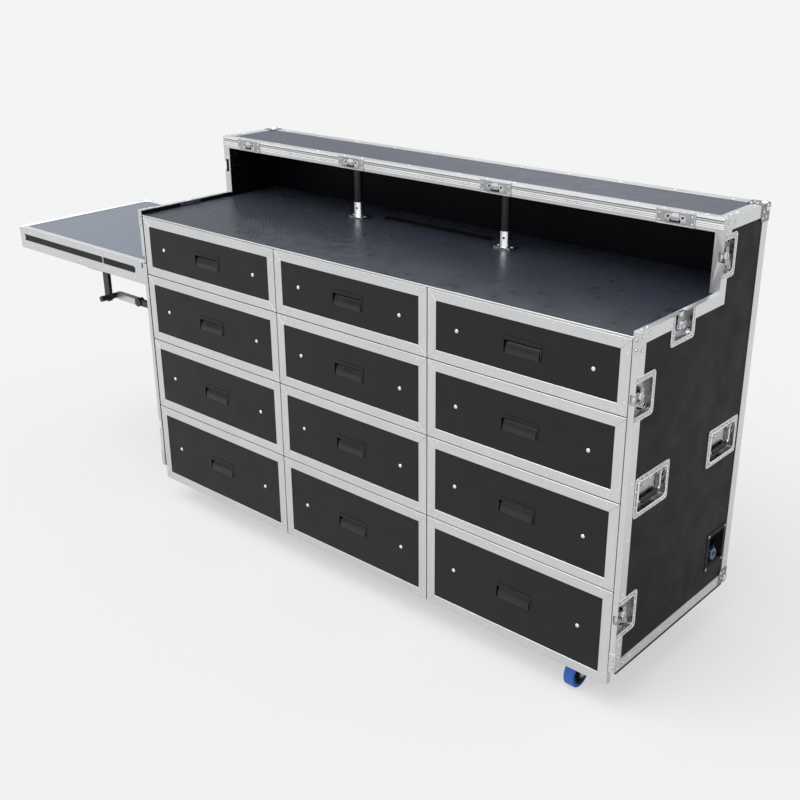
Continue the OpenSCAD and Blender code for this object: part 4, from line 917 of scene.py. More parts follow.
class DressEdges(bpy.types.Operator):
    """Drawn aluminium on the case's edges, and their rivets"""

    bl_idname = "roadcase.dress_edges"
    bl_label = "Metal edges"

    def execute(self, context):
        dress("edge_extrusions", drawn, 0.5)
        dress("worktop_lip", lambda low, high: "aluminium_x", 0.4)
        paint("drawer_runners", "galvanised")
        sizes = context.scene.hardware_sizes
        places = [(p, way) for way, start, end, share in self.runs()
                  for p in along(start, end, sizes.pitch / MM * share)]
        domes("edge_rivets", "case", places, sizes.rivet, 0.2, slot="aluminium")
        self.tongue()
        return {"FINISHED"}

    def runs(self):
        """The rows of rivets: facing, start, end and share of the pitch."""
        mid = SIDE_STRIP_W / 2
        rows = []
        for side in SIDES.values():
            x, inner = side * SKIN, side * (SKIN - mid)
            rows += [((side, 0.0, 0.0), (x, y, z), (x, y_end, z_end), 1) for y, z, y_end, z_end in (
                (mid, BASE_TOP + 75, mid, 205), (mid, 350, mid, 800), (mid, 935, mid, 965),
                (72, STEP_Z - mid, 128, STEP_Z - mid), (268, STEP_Z - mid, 350, STEP_Z - mid),
                (RISER_Y + mid, STEP_Z + 5, RISER_Y + mid, STEP_Z + 22),
                (RISER_Y + 70, TOP_SKIN - mid, CASE_DEPTH - 60, TOP_SKIN - mid),
                (CASE_DEPTH - mid, BASE_TOP + 70, CASE_DEPTH - mid, TOP_SKIN - 70),
                (75, BASE_TOP + mid, CASE_DEPTH - 70, BASE_TOP + mid))]
            rows += [(BACK, (inner, REAR_SKIN, BASE_TOP + 60), (inner, REAR_SKIN, TOP_SKIN - 60), 1),
                     (UP, (inner, RISER_Y + 80, TOP_SKIN), (inner, CASE_DEPTH - 50, TOP_SKIN), 1)]
        for way, reach, y, z, share in (
                (BACK, SKIN - 90, REAR_SKIN, BASE_TOP + mid, 1),
                (BACK, SKIN - 90, REAR_SKIN, TOP_SKIN - mid, 1),
                (UP, SKIN - 90, CASE_DEPTH - 15, TOP_SKIN, 1), (UP, SKIN - 60, RISER_Y + 14, TOP_SKIN, 1.2)):
            rows.append((way, (-reach, y, z), (reach, y, z), share))
        return rows

    def tongue(self):
        """Flat bands along the front of the raised top's extrusion, between the keepers: painted highlights
        of its fine ribs and painted shade of its grooves.
        """
        maker = Maker()
        front = RISER_Y - EDGE_T
        ends = [-SKIN + 6, *(x + t * 53 for x in KEEPERS_X for t in (-1, 1)), SKIN - 6]
        for start, end in zip(ends[::2], ends[1::2]):
            for down, tall, finish in TONGUE_PAINTED_BANDS:
                low = (start, front - 0.25, TOP_SKIN - down - tall)
                maker.add(soft_block(low, (end, front + 0.2, TOP_SKIN - down)), finish)
        maker.piece("tongue_painted_bands", "case", "aluminium")


class DressCorners(bpy.types.Operator):
    """Steel on the ball corners and braces, and their rivets"""

    bl_idname = "roadcase.dress_corners"
    bl_label = "Corner hardware"

    def execute(self, context):
        # Rear leaves take the darkened leaf steel, a painted dark reflection
        dress("corner_hardware", lambda low, high: "leaf" if high.y > REAR_SKIN + 3 else "brace",
              0.25)
        places = []
        rear, top, foot = REAR_SKIN + LEAF_T, TOP_SKIN + LEAF_T, BASE_TOP - EDGE_T
        for side in SIDES.values():
            x, out = side * (SKIN + LEAF_T), (side, 0.0, 0.0)
            for a, b in ((-32, -18), (-18, -32), (-34, -34)):
                inner = side * (SKIN + a)
                places += [((x, REAR_SKIN + a, TOP_SKIN + b), out), ((inner, rear, TOP_SKIN + b), BACK),
                           ((inner, REAR_SKIN + b, top), UP),
                           ((x, REAR_SKIN + a, foot - b), out), ((inner, rear, foot - b), BACK)]
            for a, b in ((10, 12), (10, 44), (42, 12)):
                places += [((x, a, BASE_TOP + b), out), ((x, a, STEP_Z + EDGE_T - b), out),
                           ((x, RISER_Y + a, TOP_SKIN - min(b, 30)), out)]
            strip, front = side * (SKIN - 7), -EDGE_T - LEAF_T
            for a in (16, 40):
                places += [((strip, front, BASE_TOP + a), FRONT), ((strip, front, STEP_Z - a), FRONT),
                           ((strip, a, STEP_Z + EDGE_T + LEAF_T), UP),
                           ((side * (SKIN - 12), RISER_Y + a, top), UP)]
        rivet_heads("corner_rivets", places, context.scene.hardware_sizes.rivet, 0.24)
        self.balls()
        return {"FINISHED"}

    def balls(self):
        """The bright balls of the rear corners, each ringed by a grey wire painted as the shade of the
        crevice where its leaves meet it.
        """
        maker = Maker()
        shade_ring_radius = math.sqrt(BALL_R ** 2 - (BALL_IN + 1.2) ** 2) + 0.6
        for side in SIDES.values():
            for z, up in ((TOP_SKIN, 1), (BASE_TOP - EDGE_T, -1)):
                centre = Vector((side * (SKIN - BALL_IN), REAR_SKIN - BALL_IN, z - up * BALL_IN))
                maker.add(turned(half_round(BALL_R, BALL_R, 14), 28), "ball", shifted(*centre))
                for axis in range(3):
                    out = Vector((0.0, 0.0, 0.0))
                    out[axis] = (side, 1, up)[axis]
                    turn = out.to_track_quat("Z", "Y").to_matrix().to_4x4()
                    place = shifted(*(centre + out * (BALL_IN + 1.0))) @ turn
                    # Grey wire ring: painted shade of the crevice
                    maker.add(swept(circle(shade_ring_radius, 28), 0.8, 5), "seat", place)
        maker.piece("corner_balls", "case", "zinc")


class DressDrawers(bpy.types.Operator):
    """Fronts, pull cups, boxes and runners of the drawers, with the rivets of their frames"""

    bl_idname = "roadcase.dress_drawers"
    bl_label = "Drawers"

    def execute(self, context):
        def box_finish(low, high):
            size = high - low
            if size.x < 130 and high.y < 40:
                return None
            if size.y < 13 and high.y < 16:
                return "front"
            return "galvanised" if size.x < 13 and size.z < 60 else "wood"

        def frame_finish(low, high):
            return "rivet" if max(high - low) < 20 else drawn(low, high)

        size = context.scene.hardware_sizes.small_rivet
        for name in (f"drawer_{column}_{row}" for column in COLUMNS for row in ROWS):
            dress(name + "_box", box_finish)
            dress(name + "_frame", frame_finish, 0.45)
            low, high = case_box(name + "_frame")
            spots = [(x + dx * a, z + dz * b) for x, dx in ((low.x, 1), (high.x, -1))
                     for z, dz in ((low.z, 1), (high.z, -1)) for a, b in ((34, 9), (9, 34))]
            spots += [(p.x, z) for p in along((low.x + 34, 0, 0), (high.x - 34, 0, 0), 260)[1:-1]
                      for z in (low.z + 9, high.z - 9)]
            domes(name + "_rivets", name, [((x, 0.0, z), FRONT) for x, z in spots], size, 0.22,
                  slot="aluminium")
            self.pull(name, (low.x + high.x) / 2, (low.z + high.z) / 2)
        return {"FINISHED"}

    def pull(self, name, x, z):
        """A flush cup under a lip, with a round ramp that rises from its back to its lower edge."""
        maker = Maker()
        place = facing_front(x, 0.0, z)
        half, reach = PULL_IN_W / 2, PULL_IN_H / 2
        face, seat, back = PULL_LEVELS
        inner = half - PULL_WALL
        opening = [(a, b + (PULL_TOP + PULL_LOW) / 2)
                   for a, b in round_outline(2 * half - 2 * PULL_WALL + 1.0, PULL_TOP - PULL_LOW, 1.0, 4)]
        maker.add(ring_plate(round_outline(PULL_W, PULL_H, 7.0, 4), opening, seat, face), "front", place)
        # The cup's real walls and back take the dark finish, blacker than the moulding: painted shade in the
        # recess
        for low, high in (((-half, -reach, back), (-inner, reach, seat)),
                          ((inner, -reach, back), (half, reach, seat)),
                          ((-half, reach - PULL_WALL, back), (half, reach, seat)),
                          ((-half, -reach, back), (half, reach, back + PULL_WALL))):
            maker.add(soft_block(low, high), "dark", place)
        deep = back + PULL_WALL + 1
        top = PULL_TOP + 4
        curve = [(deep + (face - deep) * math.sin(u), PULL_LOW + (top - PULL_LOW) * math.cos(u))
                 for u in (math.pi / 2 * k / 12 for k in range(13))]
        side_on = shifted(x, 0.0, z) @ Matrix(((0, 0, 1, 0), (-1, 0, 0, 0), (0, 1, 0, 0), (0, 0, 0, 1)))
        ramp = prism([*curve, (seat, -reach + 0.2), (deep, -reach + 0.2)], PULL_GAP - inner, inner - PULL_GAP)
        maker.add(ramp, "pull", side_on)
        maker.piece(name + "_pull", name, "black_plastic")


class DressLatches(bpy.types.Operator):
    """Dishes, beads, holes and keys of the butterfly latches, and the keepers; their holes and slots are dark
    plates painted as shade
    """

    bl_idname = "roadcase.dress_latches"
    bl_label = "Latches"

    def execute(self, context):
        # Faces set back behind the side panels take the darker pan steel: painted shade in the recess
        dress("recessed_dishes", lambda low, high: "dish", deep="pan")
        sizes = context.scene.hardware_sizes
        rivets = []
        detail = Maker()
        for side_name, side in SIDES.items():
            for kind, inward in LATCH_INWARD.items():
                node = f"latch_{side_name}_{kind}"
                axis_in = (inward - LATCH_RIM + 2) / 2 + 2
                key = middle(node)
                # The dish's own frame: depth inwards from the edge, along it, outwards
                if kind == "step":
                    place = facing_x(SIDE_OUT, key.y, key.z + axis_in, -90, side)
                else:
                    place = facing_x(SIDE_OUT, key.y - axis_in, key.z, 0, side)
                self.dish(detail, place, kind, inward, axis_in, sizes.bead / MM)
                rivets += self.rivets(place, side, inward)
                self.key(node, place @ shifted(axis_in))
        rivets += self.riser_hook(detail)
        detail.piece("latch_details", "case", "zinc")
        rivet_heads("latch_rivets", rivets, sizes.rivet * 0.95)
        domes("keeper_rivets", "case", self.keepers(), sizes.rivet * 0.8, 0.25)
        return {"FINISHED"}

    def dish(self, detail, place, kind, inward, axis_in, bead):
        """The beads round a dish and its pan, its holes, notch and slot, the claw's ridges and the hook; the
        holes, notch and slot are dark plates painted as their shade.
        """
        floor = LATCH_FLOOR
        pan_half, pan_in = LATCH_L / 2 - LATCH_RIM, inward - LATCH_RIM + 2

        def bead_path(depth, reach):
            """Round a dish that is open at the edge."""
            bend = [(depth - DISH_R + DISH_R * math.cos(a), centre + DISH_R * math.sin(a), EDGE_T)
                    for centre, first in ((DISH_R - reach, -6), (reach - DISH_R, 0))
                    for a in (math.radians(15 * k) for k in range(first, first + 7))]
            return [(1.0, -reach, EDGE_T), *bend, (1.0, reach, EDGE_T)]

        outer = bead_path(inward - 0.9, LATCH_L / 2 - 0.9)
        # The outer bead is real, its near-white finish a painted highlight
        detail.add(swept(outer, 0.9, closed=False), "bright", place)
        detail.add(swept(bead_path(pan_in + 1.2, pan_half + 1.2), bead * 0.75, closed=False), "rivet", place)
        for t in (-1, 1):
            hole = place @ shifted(pan_in - 9, t * (pan_half - 9))
            # A dark disc painted as the shade in the hole
            detail.add(disc(4.6, floor - 0.2, floor + 0.5, 18), "dark", hole)
            detail.add(swept(circle(5.4, 16, floor + 0.4), 0.7), "zinc", hole)
        # A dark plate painted as the shade in the notch where the hook passes
        notch = [(0.4, 0), (13, 0), (19, 6), (19, 27), (12, 34), (0.4, 34)]
        detail.add(prism([(a, -b if kind == "step" else b) for a, b in notch], floor, floor + 0.7), "dark",
                   place)
        # A dark bar painted as the shade in the slot
        if kind != "riser":
            turn = shifted(axis_in + 4, -pan_half + 8) @ Matrix.Rotation(math.radians(66), 4, "Z")
            detail.add(soft_block((-2.4, -13, floor - 0.2), (2.4, 13, floor + 0.5), 0.3), "dark",
                       place @ turn)
        for low in (-CLAW_HALF, CLAW_HALF - 2.2):
            ridge = soft_block((4, low, floor + 2.6), (axis_in - 10, low + 2.2, floor + 4.4), 0.6)
            detail.add(ridge, "zinc", place)
        # A dark ring round the key's boss: painted shadow
        ring = ((10.4, floor), (15.4, floor), (15.4, floor + 0.35), (10.4, floor + 0.35), (10.4, floor))
        detail.add(turned(ring, 28), "dark", place @ shifted(axis_in))
        hook = [(1.2, -6), (9, -6), (13, -3), (13, 3), (9, 6), (1.2, 6)]
        detail.add(prism(hook, floor + 2.4, floor + 5.4, 0.6), "rivet", place)

    def rivets(self, place, side, inward):
        half, rim = LATCH_L / 2, LATCH_RIM / 2
        spots = [(12, half - rim), (12, rim - half), (46, half - rim), (46, rim - half),
                 (inward - rim - 1, half - rim - 1), (inward - rim - 1, rim + 1 - half),
                 (inward - 6.0, -20.0), (inward - 6.0, 20.0)]
        return [(place @ Vector((depth, up, EDGE_T)), (side, 0.0, 0.0)) for depth, up in spots]

    def riser_hook(self, detail):
        """The riser latch's opening in the left strip, drawn as a dark block painted as its shade, and its
        hooks; gives its rivets' ends inside.
        """
        z = middle("latch_left_riser").z
        front = RISER_Y - EDGE_T
        # Dark block: painted shade of the opening
        detail.add(soft_block((-909, front - 0.3, z - 24), (-897, front + 0.6, z + 24)), "dark")
        for t in (-1, 1):
            hook = soft_block((-907, front - 1.0, z + t * 26 - 5), (-891.5, front + 0.4, z + t * 26 + 5), 0.8)
            detail.add(hook, "rivet")
        return [((-SIDE_IN, RISER_Y + 26, z + up), (1.0, 0.0, 0.0)) for up in (-36, 36, 0)]

    def key(self, node, place):
        """The butterfly: a stepped boss with a rivet, and two wings with ribs, whose hollows are grey plates
        painted as shade.
        """
        low, high = LATCH_FLOOR + 0.2 + 2.5 + 0.3, -1.6
        maker = Maker()
        boss = ((3.1, low), (9.9, low), (10.0, low + 1.2), (10.0, low + 3.2), (8.6, low + 4.2),
                (7.2, low + 4.4), (6.6, high - 0.6), (5.4, high), (3.1, high), (3.1, low))
        maker.add(turned(boss), "rivet", place)
        for t in (1, -1):
            # Grey wing plates in the seat finish: painted shade in the hollows
            maker.add(prism([(x, t * y) for x, y in WING], low + 1.8, high - 2.6, 0.7), "seat", place)
            rim = [(x * 0.86, t * (y * 0.93 + 0.6), high - 2.4) for x, y in WING]
            maker.add(swept(rim, 0.9, closed=False), "rivet", place)
            near, far = sorted((t * 9, t * 20))
            for x in (-2.6, 2.6):
                maker.add(soft_block((x - 0.8, near, low + 3), (x + 0.8, far, high), 0.3), "zinc", place)
        maker.piece(node + "_butterfly", node, "zinc", (node,))

    def keepers(self):
        """Catches on the front of the raised top, each with a bead, two hooks, and a slot and two holes drawn
        as dark plates painted as their shade; gives their rivets.
        """
        maker = Maker()
        rivets = []
        front, z = RISER_Y - EDGE_T * 2, TOP_SKIN - 18
        bridge = [(-30, -10), (-26, -13), (26, -13), (30, -10), (30, 4), (24, 9), (-24, 9), (-30, 4)]
        hook = [(-9, 2.0), (9, 2.0), (11, 7.0), (7, 12.5), (-7, 12.5), (-11, 7.0)]
        for x in KEEPERS_X:
            place = facing_front(x, front, z)
            maker.add(swept([(a, b, 0.1) for a, b in round_outline(104, 33, 5, 4)], 0.9), "rivet", place)
            maker.add(prism(bridge, 0.0, 1.5, 0.6), "brace", place)
            # Dark plate painted as the shade in the slot
            maker.add(prism(round_outline(30, 9, 3, 3), 1.2, 1.9), "dark", place @ shifted(0, -6))
            maker.add(prism(hook, 0.5, 3.4, 0.8), "rivet", place)
            # Dark discs painted as the shade in the two holes
            for dx in (-20, 20):
                maker.add(disc(3.2, 1.0, 1.8, 14), "dark", place @ shifted(dx, 3))
            rivets += [((x + dx, front, z + dz), FRONT) for dx in (-45, 45) for dz in (-10, 8)]
            rivets += [((x + dx, RISER_Y + 10, TOP_SKIN), UP) for dx in (-38, 38)]
        maker.piece("keeper_details", "case", "zinc")
        return rivets


class DressHandles(bpy.types.Operator):
    """Beads, rivets, springs and grips of the sprung handles"""

    bl_idname = "roadcase.dress_handles"
    bl_label = "Handles"

    def execute(self, context):
        def pick(low, high):
            size = high - low
            return "rubber" if size.z < 13 and size.y < 90 else "zinc"

        sizes = context.scene.hardware_sizes
        beads = Maker()
        rivets = []
        pan_w, pan_h = HANDLE_W - 2 * HANDLE_RIM, HANDLE_H - 2 * HANDLE_RIM
        for node in ("handle_front", "handle_rear"):
            dress(node, pick)
            low, high = case_box(node)
            x, y = (low.x + high.x) / 2, (low.y + high.y) / 2
            z = high.z - 3.0 + HANDLE_AXIS_DOWN - HANDLE_H / 2 + HANDLE_RIM
            face = facing_x(SKIN, y, z)
            outer = [(a, b, 0.2) for a, b in round_outline(HANDLE_W - 2, HANDLE_H - 2, DISH_R - 1, 6)]
            inner = [(a, b, 1.3) for a, b in round_outline(pan_w + 4, pan_h + 4, DISH_R + 2, 6)]
            beads.add(swept(outer, 0.9), "rivet", face)
            # The inner bead is real, its near-white finish a painted highlight
            beads.add(swept(inner, 1.5, 8), "bright", face)
            for t in (-1, 1):
                rib = soft_block((t * 22 - 14, pan_h / 2 - 22, -15.4), (t * 22 + 14, pan_h / 2 - 18, -13.4),
                                 0.7)
                beads.add(rib, "zinc", face)
            spots = [(22 * k - 66, HANDLE_H / 2 - 6) for k in range(7)]
            spots += [(50 * k, 6 - HANDLE_H / 2) for k in (-1, 0, 1)]
            spots += [(t * (HANDLE_W / 2 - 6), dz) for t in (-1, 1) for dz in (-22, 20)]
            rivets += [((SKIN, y + dy, z + dz), (1.0, 0.0, 0.0)) for dy, dz in spots]
            springs = [((high.x - 3, y + t * SPRING_OUT, high.z - 3), (0.0, -t, 0.0)) for t in (-1, 1)]
            scatter(node + "_springs", "case", coil_springs, springs, "zinc", "zinc",
                    Turns=sizes.spring_turns, Radius=0.0043, Length=0.009, Wire=0.0008)
            rings = Maker()
            for k in range(-4, 5):
                ring = [(x + a, y + 8 * k, low.z + 3.0 + b) for a, b, _ in circle(5.2, 16)]
                rings.add(swept(ring, 1.6), "rubber")
            rings.piece(node + "_grip_rings", node, "bail")
        beads.piece("handle_beads", "case", "zinc")
        rivet_heads("handle_rivets", rivets, sizes.rivet)
        return {"FINISHED"}


class DressWorktopFittings(bpy.types.Operator):
    """Posts under the raised top, and the power inlet"""

    bl_idname = "roadcase.dress_fittings"
    bl_label = "Posts and power inlet"

    def execute(self, context):
        def post_finish(low, high):
            if high.z - low.z > 80:
                return "black_metal"
            return "zinc" if low.z < WORK_Z + 10 else "galvanised"

        screw = context.scene.hardware_sizes.screw
        dress("shelf_posts", post_finish, 0.2)
        screws("post_screws", [((x + dx, POST_Y, WORK_Z + 5.0), UP) for x in POSTS_X for dx in (-24, 24)],
               screw)
        pins = [((x + 5, POST_Y - 14.8, WORK_Z + 32), (0.2, -1.0, 0.0)) for x in POSTS_X]
        scatter("post_pins", "case", dome_heads, pins, "black_metal", "zinc", Diameter=0.007, Height=0.002)
        self.inlet(screw)
        return {"FINISHED"}

    def inlet(self, screw):
        def pick(low, high):
            size = high - low
            return "connector" if abs(size.y - size.z) < 1 and size.y < 40 and size.x < 20 else "plastic"

        dress("power_inlet", pick, 0.3)
        low, high = case_box("power_inlet")
        y, z = (low.y + high.y) / 2, (low.z + high.z) / 2
        corners = [(SKIN - 0.3, y + a * (high.y - low.y) / 2 - a * 7, z + b * (high.z - low.z) / 2 - b * 7)
                   for a in (-1, 1) for b in (-1, 1)]
        screws("inlet_screws", [(corner, (1.0, 0.0, 0.0)) for corner in corners], screw)
        maker = Maker()
        face = facing_x(SKIN - 30 + 14, y, z - 22)
        maker.add(swept(circle(14.5, 24, 11.0), 1.6), "connector_rim", face)
        maker.add(soft_block((-15.5, -3.2, 1.0), (15.5, 3.2, 6.5), 0.8), "connector", face)
        maker.add(soft_block((-17, 9.5, 0.5), (17, 15.5, 7.5), 1.2), "connector", face)
        for turn in (math.radians(a) for a in (90, 210, 330)):
            pin = turned(((0, 0), (1.7, 0), (1.7, 8), (1.2, 8.8), (0, 8.8)), 12)
            maker.add(pin, "connector", face @ shifted(5 * math.cos(turn), 5 * math.sin(turn)))
        rim = [(a, b, 14.2) for a, b in round_outline(high.y - low.y - 24, high.z - low.z - 24, 3, 3)]
        maker.add(swept(rim, 0.8), "plastic", facing_x(SKIN - 14, y, z))
        maker.piece("inlet_details", "case", "black_plastic")


class DressCastors(bpy.types.Operator):
    """Plates, forks, tyres, hubs, bolts and nuts of the castors"""

    bl_idname = "roadcase.dress_castors"
    bl_label = "Castors"

    def execute(self, context):
        sizes = context.scene.hardware_sizes
        paint("castor_plates", "galvanised")
        bolts = []
        for end, swivel_y in (("front", SWIVEL_IN), ("rear", CASE_DEPTH - SWIVEL_IN)):
            for side in SIDES:
                name = f"castor_{end}_{side}"
                paint(name + "_fork", "steel")
                dress(name + "_wheel", lambda low, high: "tread" if high.z - low.z > 78 else "black_metal")
                low, high = case_box(name + "_wheel")
                x, y, z = (low.x + high.x) / 2, (low.y + high.y) / 2, (low.z + high.z) / 2
                self.wheel(name, x, y, z, sizes.hub_ribs)
                bolts += [((x + dx, swivel_y + dy, PLATE_LOW), (0.0, 0.0, -1.0))
                          for dx in (-39, 39) for dy in (-31.5, 31.5)]
        scatter("castor_bolts", "case", dome_heads, bolts, "zinc", "zinc", Diameter=sizes.bolt, Height=0.005)
        return {"FINISHED"}

    def wheel(self, name, x, y, z, count):
        """Ribs on the hub, rings on the tyre and the axle's nuts."""
        scatter(name + "_ribs", name + "_wheel", hub_ribs,
                [((x + t * 9.0, y, z), (t, 0.0, 0.0)) for t in (-1, 1)],
                "black_metal", "wheel", Count=count, Inner=0.0105, Outer=0.0265, Width=0.0022, Depth=0.008)
        rings, nuts = Maker(), Maker()
        hexagon = [(a, b) for a, b, _ in circle(6.5, 6)]
        for t in (-1, 1):
            for r in (32.5, 36.0):
                rings.add(swept([(x + t * 14.6, y + a, z + b) for a, b, _ in circle(r, 40)], 0.6, 5), "tread")
            mirror = Matrix.Diagonal((t, 1, 1, 1))
            nuts.add(prism(hexagon, 0.0, 5.0, 0.7), "zinc", shifted(x) @ mirror @ facing_x(19.3, y, z))
        rings.piece(name + "_tyre_rings", name + "_wheel", "wheel")
        nuts.piece(name + "_nuts", name + "_fork", "zinc")


class DressTable(bpy.types.Operator):
    """Top, rails, hinges and stay of the side table"""

    bl_idname = "roadcase.dress_table"
    bl_label = "Side table"

    def execute(self, context):
        def panel_finish(low, high):
            return "table" if high.x - low.x > 500 and high.y - low.y > 300 else "inside"

        def rail_finish(low, high):
            return "steel" if high.x - low.x < 80 and high.y - low.y < 80 else drawn(low, high)

        def strut_finish(low, high):
            square_tube = high.x - low.x > 90 and high.z - low.z < 24 and low.x < -1200
            return "aluminium_x" if square_tube else "black_metal"

        dress("table_top", panel_finish)
        dress("table_rails", rail_finish, 0.45)
        dress("stay_strut", strut_finish, 0.3)
        paint("stay_arm", "black_metal")
        paint("table_hinges", "galvanised")
        paint("table_brackets", "galvanised")
        low, high = case_box("table_top")
        rail = 1.5
        self.end_caps(low, high, rail)
        levels = (high.z - 10, low.z + 14)
        rows = [((0.0, way, 0.0), (low.x + 70, y, z), (high.x - 60, y, z))
                for y, way in ((low.y - rail, -1.0), (high.y + rail, 1.0)) for z in levels]
        rows += [((-1.0, 0.0, 0.0), (low.x - rail, low.y + 40, z), (low.x - rail, high.y - 70, z))
                 for z in levels]
        sizes = context.scene.hardware_sizes
        places = [(p, way) for way, start, end in rows for p in along(start, end, sizes.pitch / MM)]
        domes("table_rivets", "table", places, sizes.rivet * 0.85, 0.2 / 0.85, slot="table_metal")
        bolts = [((-SIDE_OUT - 4.0, y + dy, z + dz), (-1.0, 0.0, 0.0))
                 for y, z in BRACKETS for dy in (-15, 15) for dz in (-20, 20)]
        scatter("bracket_bolts", "case", dome_heads, bolts, "zinc", "zinc", Diameter=0.01, Height=0.0028)
        return {"FINISHED"}

    def end_caps(self, low, high, rail):
        """Plates that close the ends of the front rail's dark band, a strap over it, a dark block painted as
        shade at its right end, and a corner ball.
        """
        maker = Maker()
        band_low, band_high = low.z + 29.4, high.z - 22.6
        front = low.y - rail
        mid, half = (band_low + band_high) / 2, (band_high - band_low) / 2
        left, right = low.x - rail, high.x + rail
        bulge = half_round(9, half, 8)
        cap = [(left, mid - half), *((left + 24 + a, mid + b) for a, b in bulge), (left, mid + half)]
        maker.add(prism(cap, 0.0, 1.4), "aluminium_x", facing_front(0.0, front + 1.5, 0.0))
        cap = [(right, mid + half), *((right - 62 + a, mid - b) for a, b in bulge), (right, mid - half)]
        maker.add(prism(cap, 0.0, 1.4), "aluminium_x", facing_front(0.0, front + 1.5, 0.0))
        strap = soft_block((right - 242, front, band_low), (right - 238.5, front + 1.4, band_high), 0.4)
        maker.add(strap, "rivet")
        # Dark block: painted shade at the right end
        maker.add(soft_block((right - 15, front - 0.3, high.z - 20), (right - 9, front + 0.6, high.z - 3)),
                  "dark")
        maker.add(turned(half_round(11, 11, 12), 24), "zinc", shifted(left + 8, front + 8, high.z + 1.5 - 8))
        maker.piece("table_end_caps", "table", "table_metal")


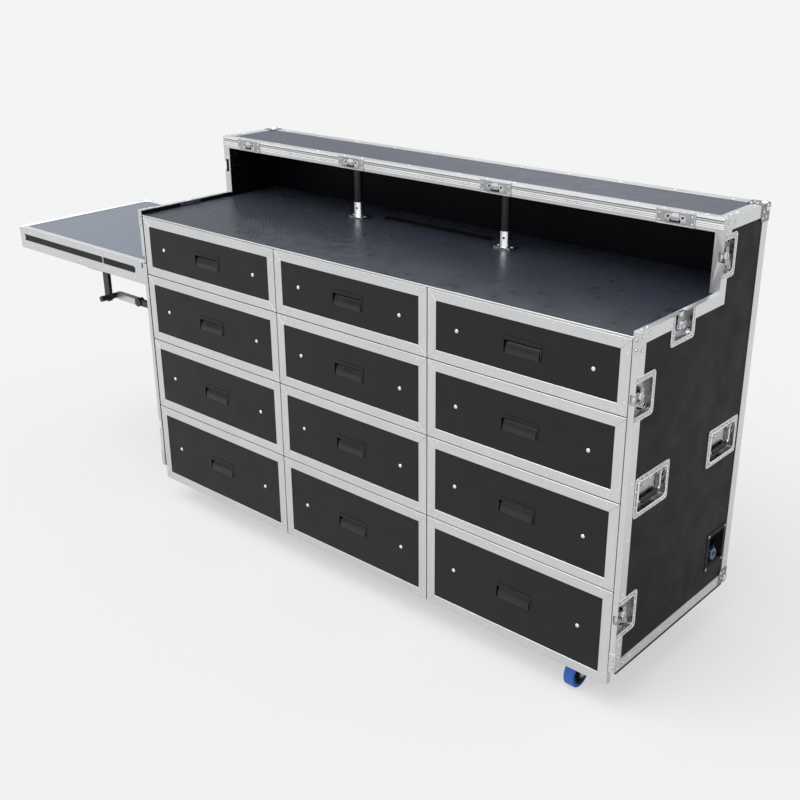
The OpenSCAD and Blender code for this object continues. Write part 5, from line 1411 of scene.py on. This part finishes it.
class SetStage(bpy.types.Operator):
    """Floor, background, soft light and camera"""

    bl_idname = "roadcase.set_stage"
    bl_label = "Stage"

    def execute(self, context):
        s = context.scene.stage_settings
        context.scene.view_settings.view_transform = "Standard"
        self.floor(tuple(s.floor))
        self.world(context.scene, s)
        self.lamp(s.key)
        self.camera(context.scene, s)
        return {"FINISHED"}

    def floor(self, pale):
        """A flat floor that the camera sees brighter than its light makes it, with the object's shadow."""
        made = bmesh.new()
        bmesh.ops.create_grid(made, x_segments=2, y_segments=2, size=60.0)
        mesh = bpy.data.meshes.new("floor")
        made.to_mesh(mesh)
        made.free()
        floor = bpy.data.objects.new("floor", mesh)
        bpy.context.scene.collection.objects.link(floor)
        material = bpy.data.materials.new("pale_floor")
        material.use_nodes = True
        nodes = Nodes(material.node_tree)
        nodes.tree.nodes.clear()
        diffuse = nodes.node("ShaderNodeBsdfDiffuse", Color=(*shade(pale, 0.93), 1.0))
        glow = nodes.node("ShaderNodeEmission", Color=(*pale, 1.0))
        share = nodes.maths("MULTIPLY", nodes.node("ShaderNodeLightPath").outputs["Is Camera Ray"], 0.6)
        mix = nodes.feed_all(nodes.node("ShaderNodeMixShader"), share, diffuse.outputs[0], glow.outputs[0])
        nodes.node("ShaderNodeOutputMaterial", Surface=mix)
        mesh.materials.append(material)

    def world(self, scene, s):
        """Even light, what metal mirrors and the background that the camera sees."""
        scene.world = bpy.data.worlds.new("studio")
        scene.world.use_nodes = True
        nodes = Nodes(scene.world.node_tree)
        nodes.tree.nodes.clear()
        even = nodes.node("ShaderNodeBackground", Color=(0.97, 0.985, 1.0, 1.0), Strength=s.sky)
        seen = nodes.node("ShaderNodeBackground", Color=(*tuple(s.floor), 1.0))
        mirrored = nodes.node("ShaderNodeBackground", Color=(0.95, 0.975, 1.0, 1.0),
                              Strength=self.mirrored_studio(nodes))
        path = nodes.node("ShaderNodeLightPath")
        shown = even.outputs[0]
        for ray, other in (("Is Glossy Ray", mirrored), ("Is Camera Ray", seen)):
            shown = nodes.feed_all(nodes.node("ShaderNodeMixShader"), path.outputs[ray], shown,
                                   other.outputs[0])
        nodes.node("ShaderNodeOutputWorld", Surface=shown)

    def mirrored_studio(self, nodes):
        """A dim room that brightens overhead, with soft bright bands round it."""
        way = nodes.node("ShaderNodeSeparateXYZ",
                         Vector=nodes.node("ShaderNodeTexCoord").outputs["Generated"])
        overhead = nodes.span(way.outputs["Z"], 0.35, 0.95, 0.34, 3.0)
        bands = nodes.node("ShaderNodeTexWave", {"bands_direction": "X"}, Scale=0.9, Distortion=0.0)
        return nodes.maths("MULTIPLY_ADD", bands.outputs["Fac"], 0.45, overhead)

    def lamp(self, strength):
        sun = bpy.data.lights.new("soft_sun", "SUN")
        sun.energy = strength
        sun.angle = math.radians(50)
        lamp = bpy.data.objects.new("soft_sun", sun)
        lamp.rotation_euler = Vector((0.25, 0.55, -1.0)).to_track_quat("-Z", "Y").to_euler()
        bpy.context.scene.collection.objects.link(lamp)

    def camera(self, scene, s):
        data = bpy.data.cameras.new("camera")
        data.sensor_width = 36.0
        data.lens = s.lens
        data.clip_end = 300.0
        back = Vector((math.sin(s.azimuth) * math.cos(s.elevation),
                       -math.cos(s.azimuth) * math.cos(s.elevation), math.sin(s.elevation)))
        right = Vector((math.cos(s.azimuth), math.sin(s.azimuth), 0.0))
        up = back.cross(right)
        across = math.cos(s.roll) * right + math.sin(s.roll) * up
        upwards = -math.sin(s.roll) * right + math.cos(s.roll) * up
        camera = bpy.data.objects.new("camera", data)
        turn = Matrix((across, upwards, back)).transposed().to_4x4()
        camera.matrix_world = Matrix.Translation(ORIGIN + Vector(s.place)) @ turn
        scene.collection.objects.link(camera)
        scene.camera = camera


PIECES = (DressPanels, DressEdges, DressCorners, DressDrawers, DressLatches, DressHandles,
          DressWorktopFittings, DressCastors, DressTable, SetStage)
GROUPS = {"case_finishes": CaseFinishes, "hardware_sizes": HardwareSizes, "stage_settings": StageSettings}


class RoadCasePanel(bpy.types.Panel):
    """Lists the pieces, sizes and colours of the road case"""

    bl_idname = "VIEW3D_PT_road_case"
    bl_label = "Road Case"
    bl_space_type = "VIEW_3D"
    bl_region_type = "UI"
    bl_category = "Road Case"

    def draw(self, context):
        layout = self.layout
        for name in GROUPS:
            group = getattr(context.scene, name)
            box = layout.box()
            for size in group.bl_rna.properties.keys():
                if size not in ("rna_type", "name"):
                    box.prop(group, size)
        for piece in PIECES:
            layout.operator(piece.bl_idname)


def register():
    for kind in (*GROUPS.values(), *PIECES, RoadCasePanel):
        bpy.utils.register_class(kind)
    for name, kind in GROUPS.items():
        setattr(bpy.types.Scene, name, PointerProperty(type=kind))


def unregister():
    for name in GROUPS:
        delattr(bpy.types.Scene, name)
    for kind in reversed((*GROUPS.values(), *PIECES, RoadCasePanel)):
        bpy.utils.unregister_class(kind)


def main():
    register()
    scene = bpy.context.scene
    build_looks(scene.case_finishes)
    for piece in PIECES:
        group, name = piece.bl_idname.split(".")
        getattr(getattr(bpy.ops, group), name)()


if __name__ == "__main__":
    main()
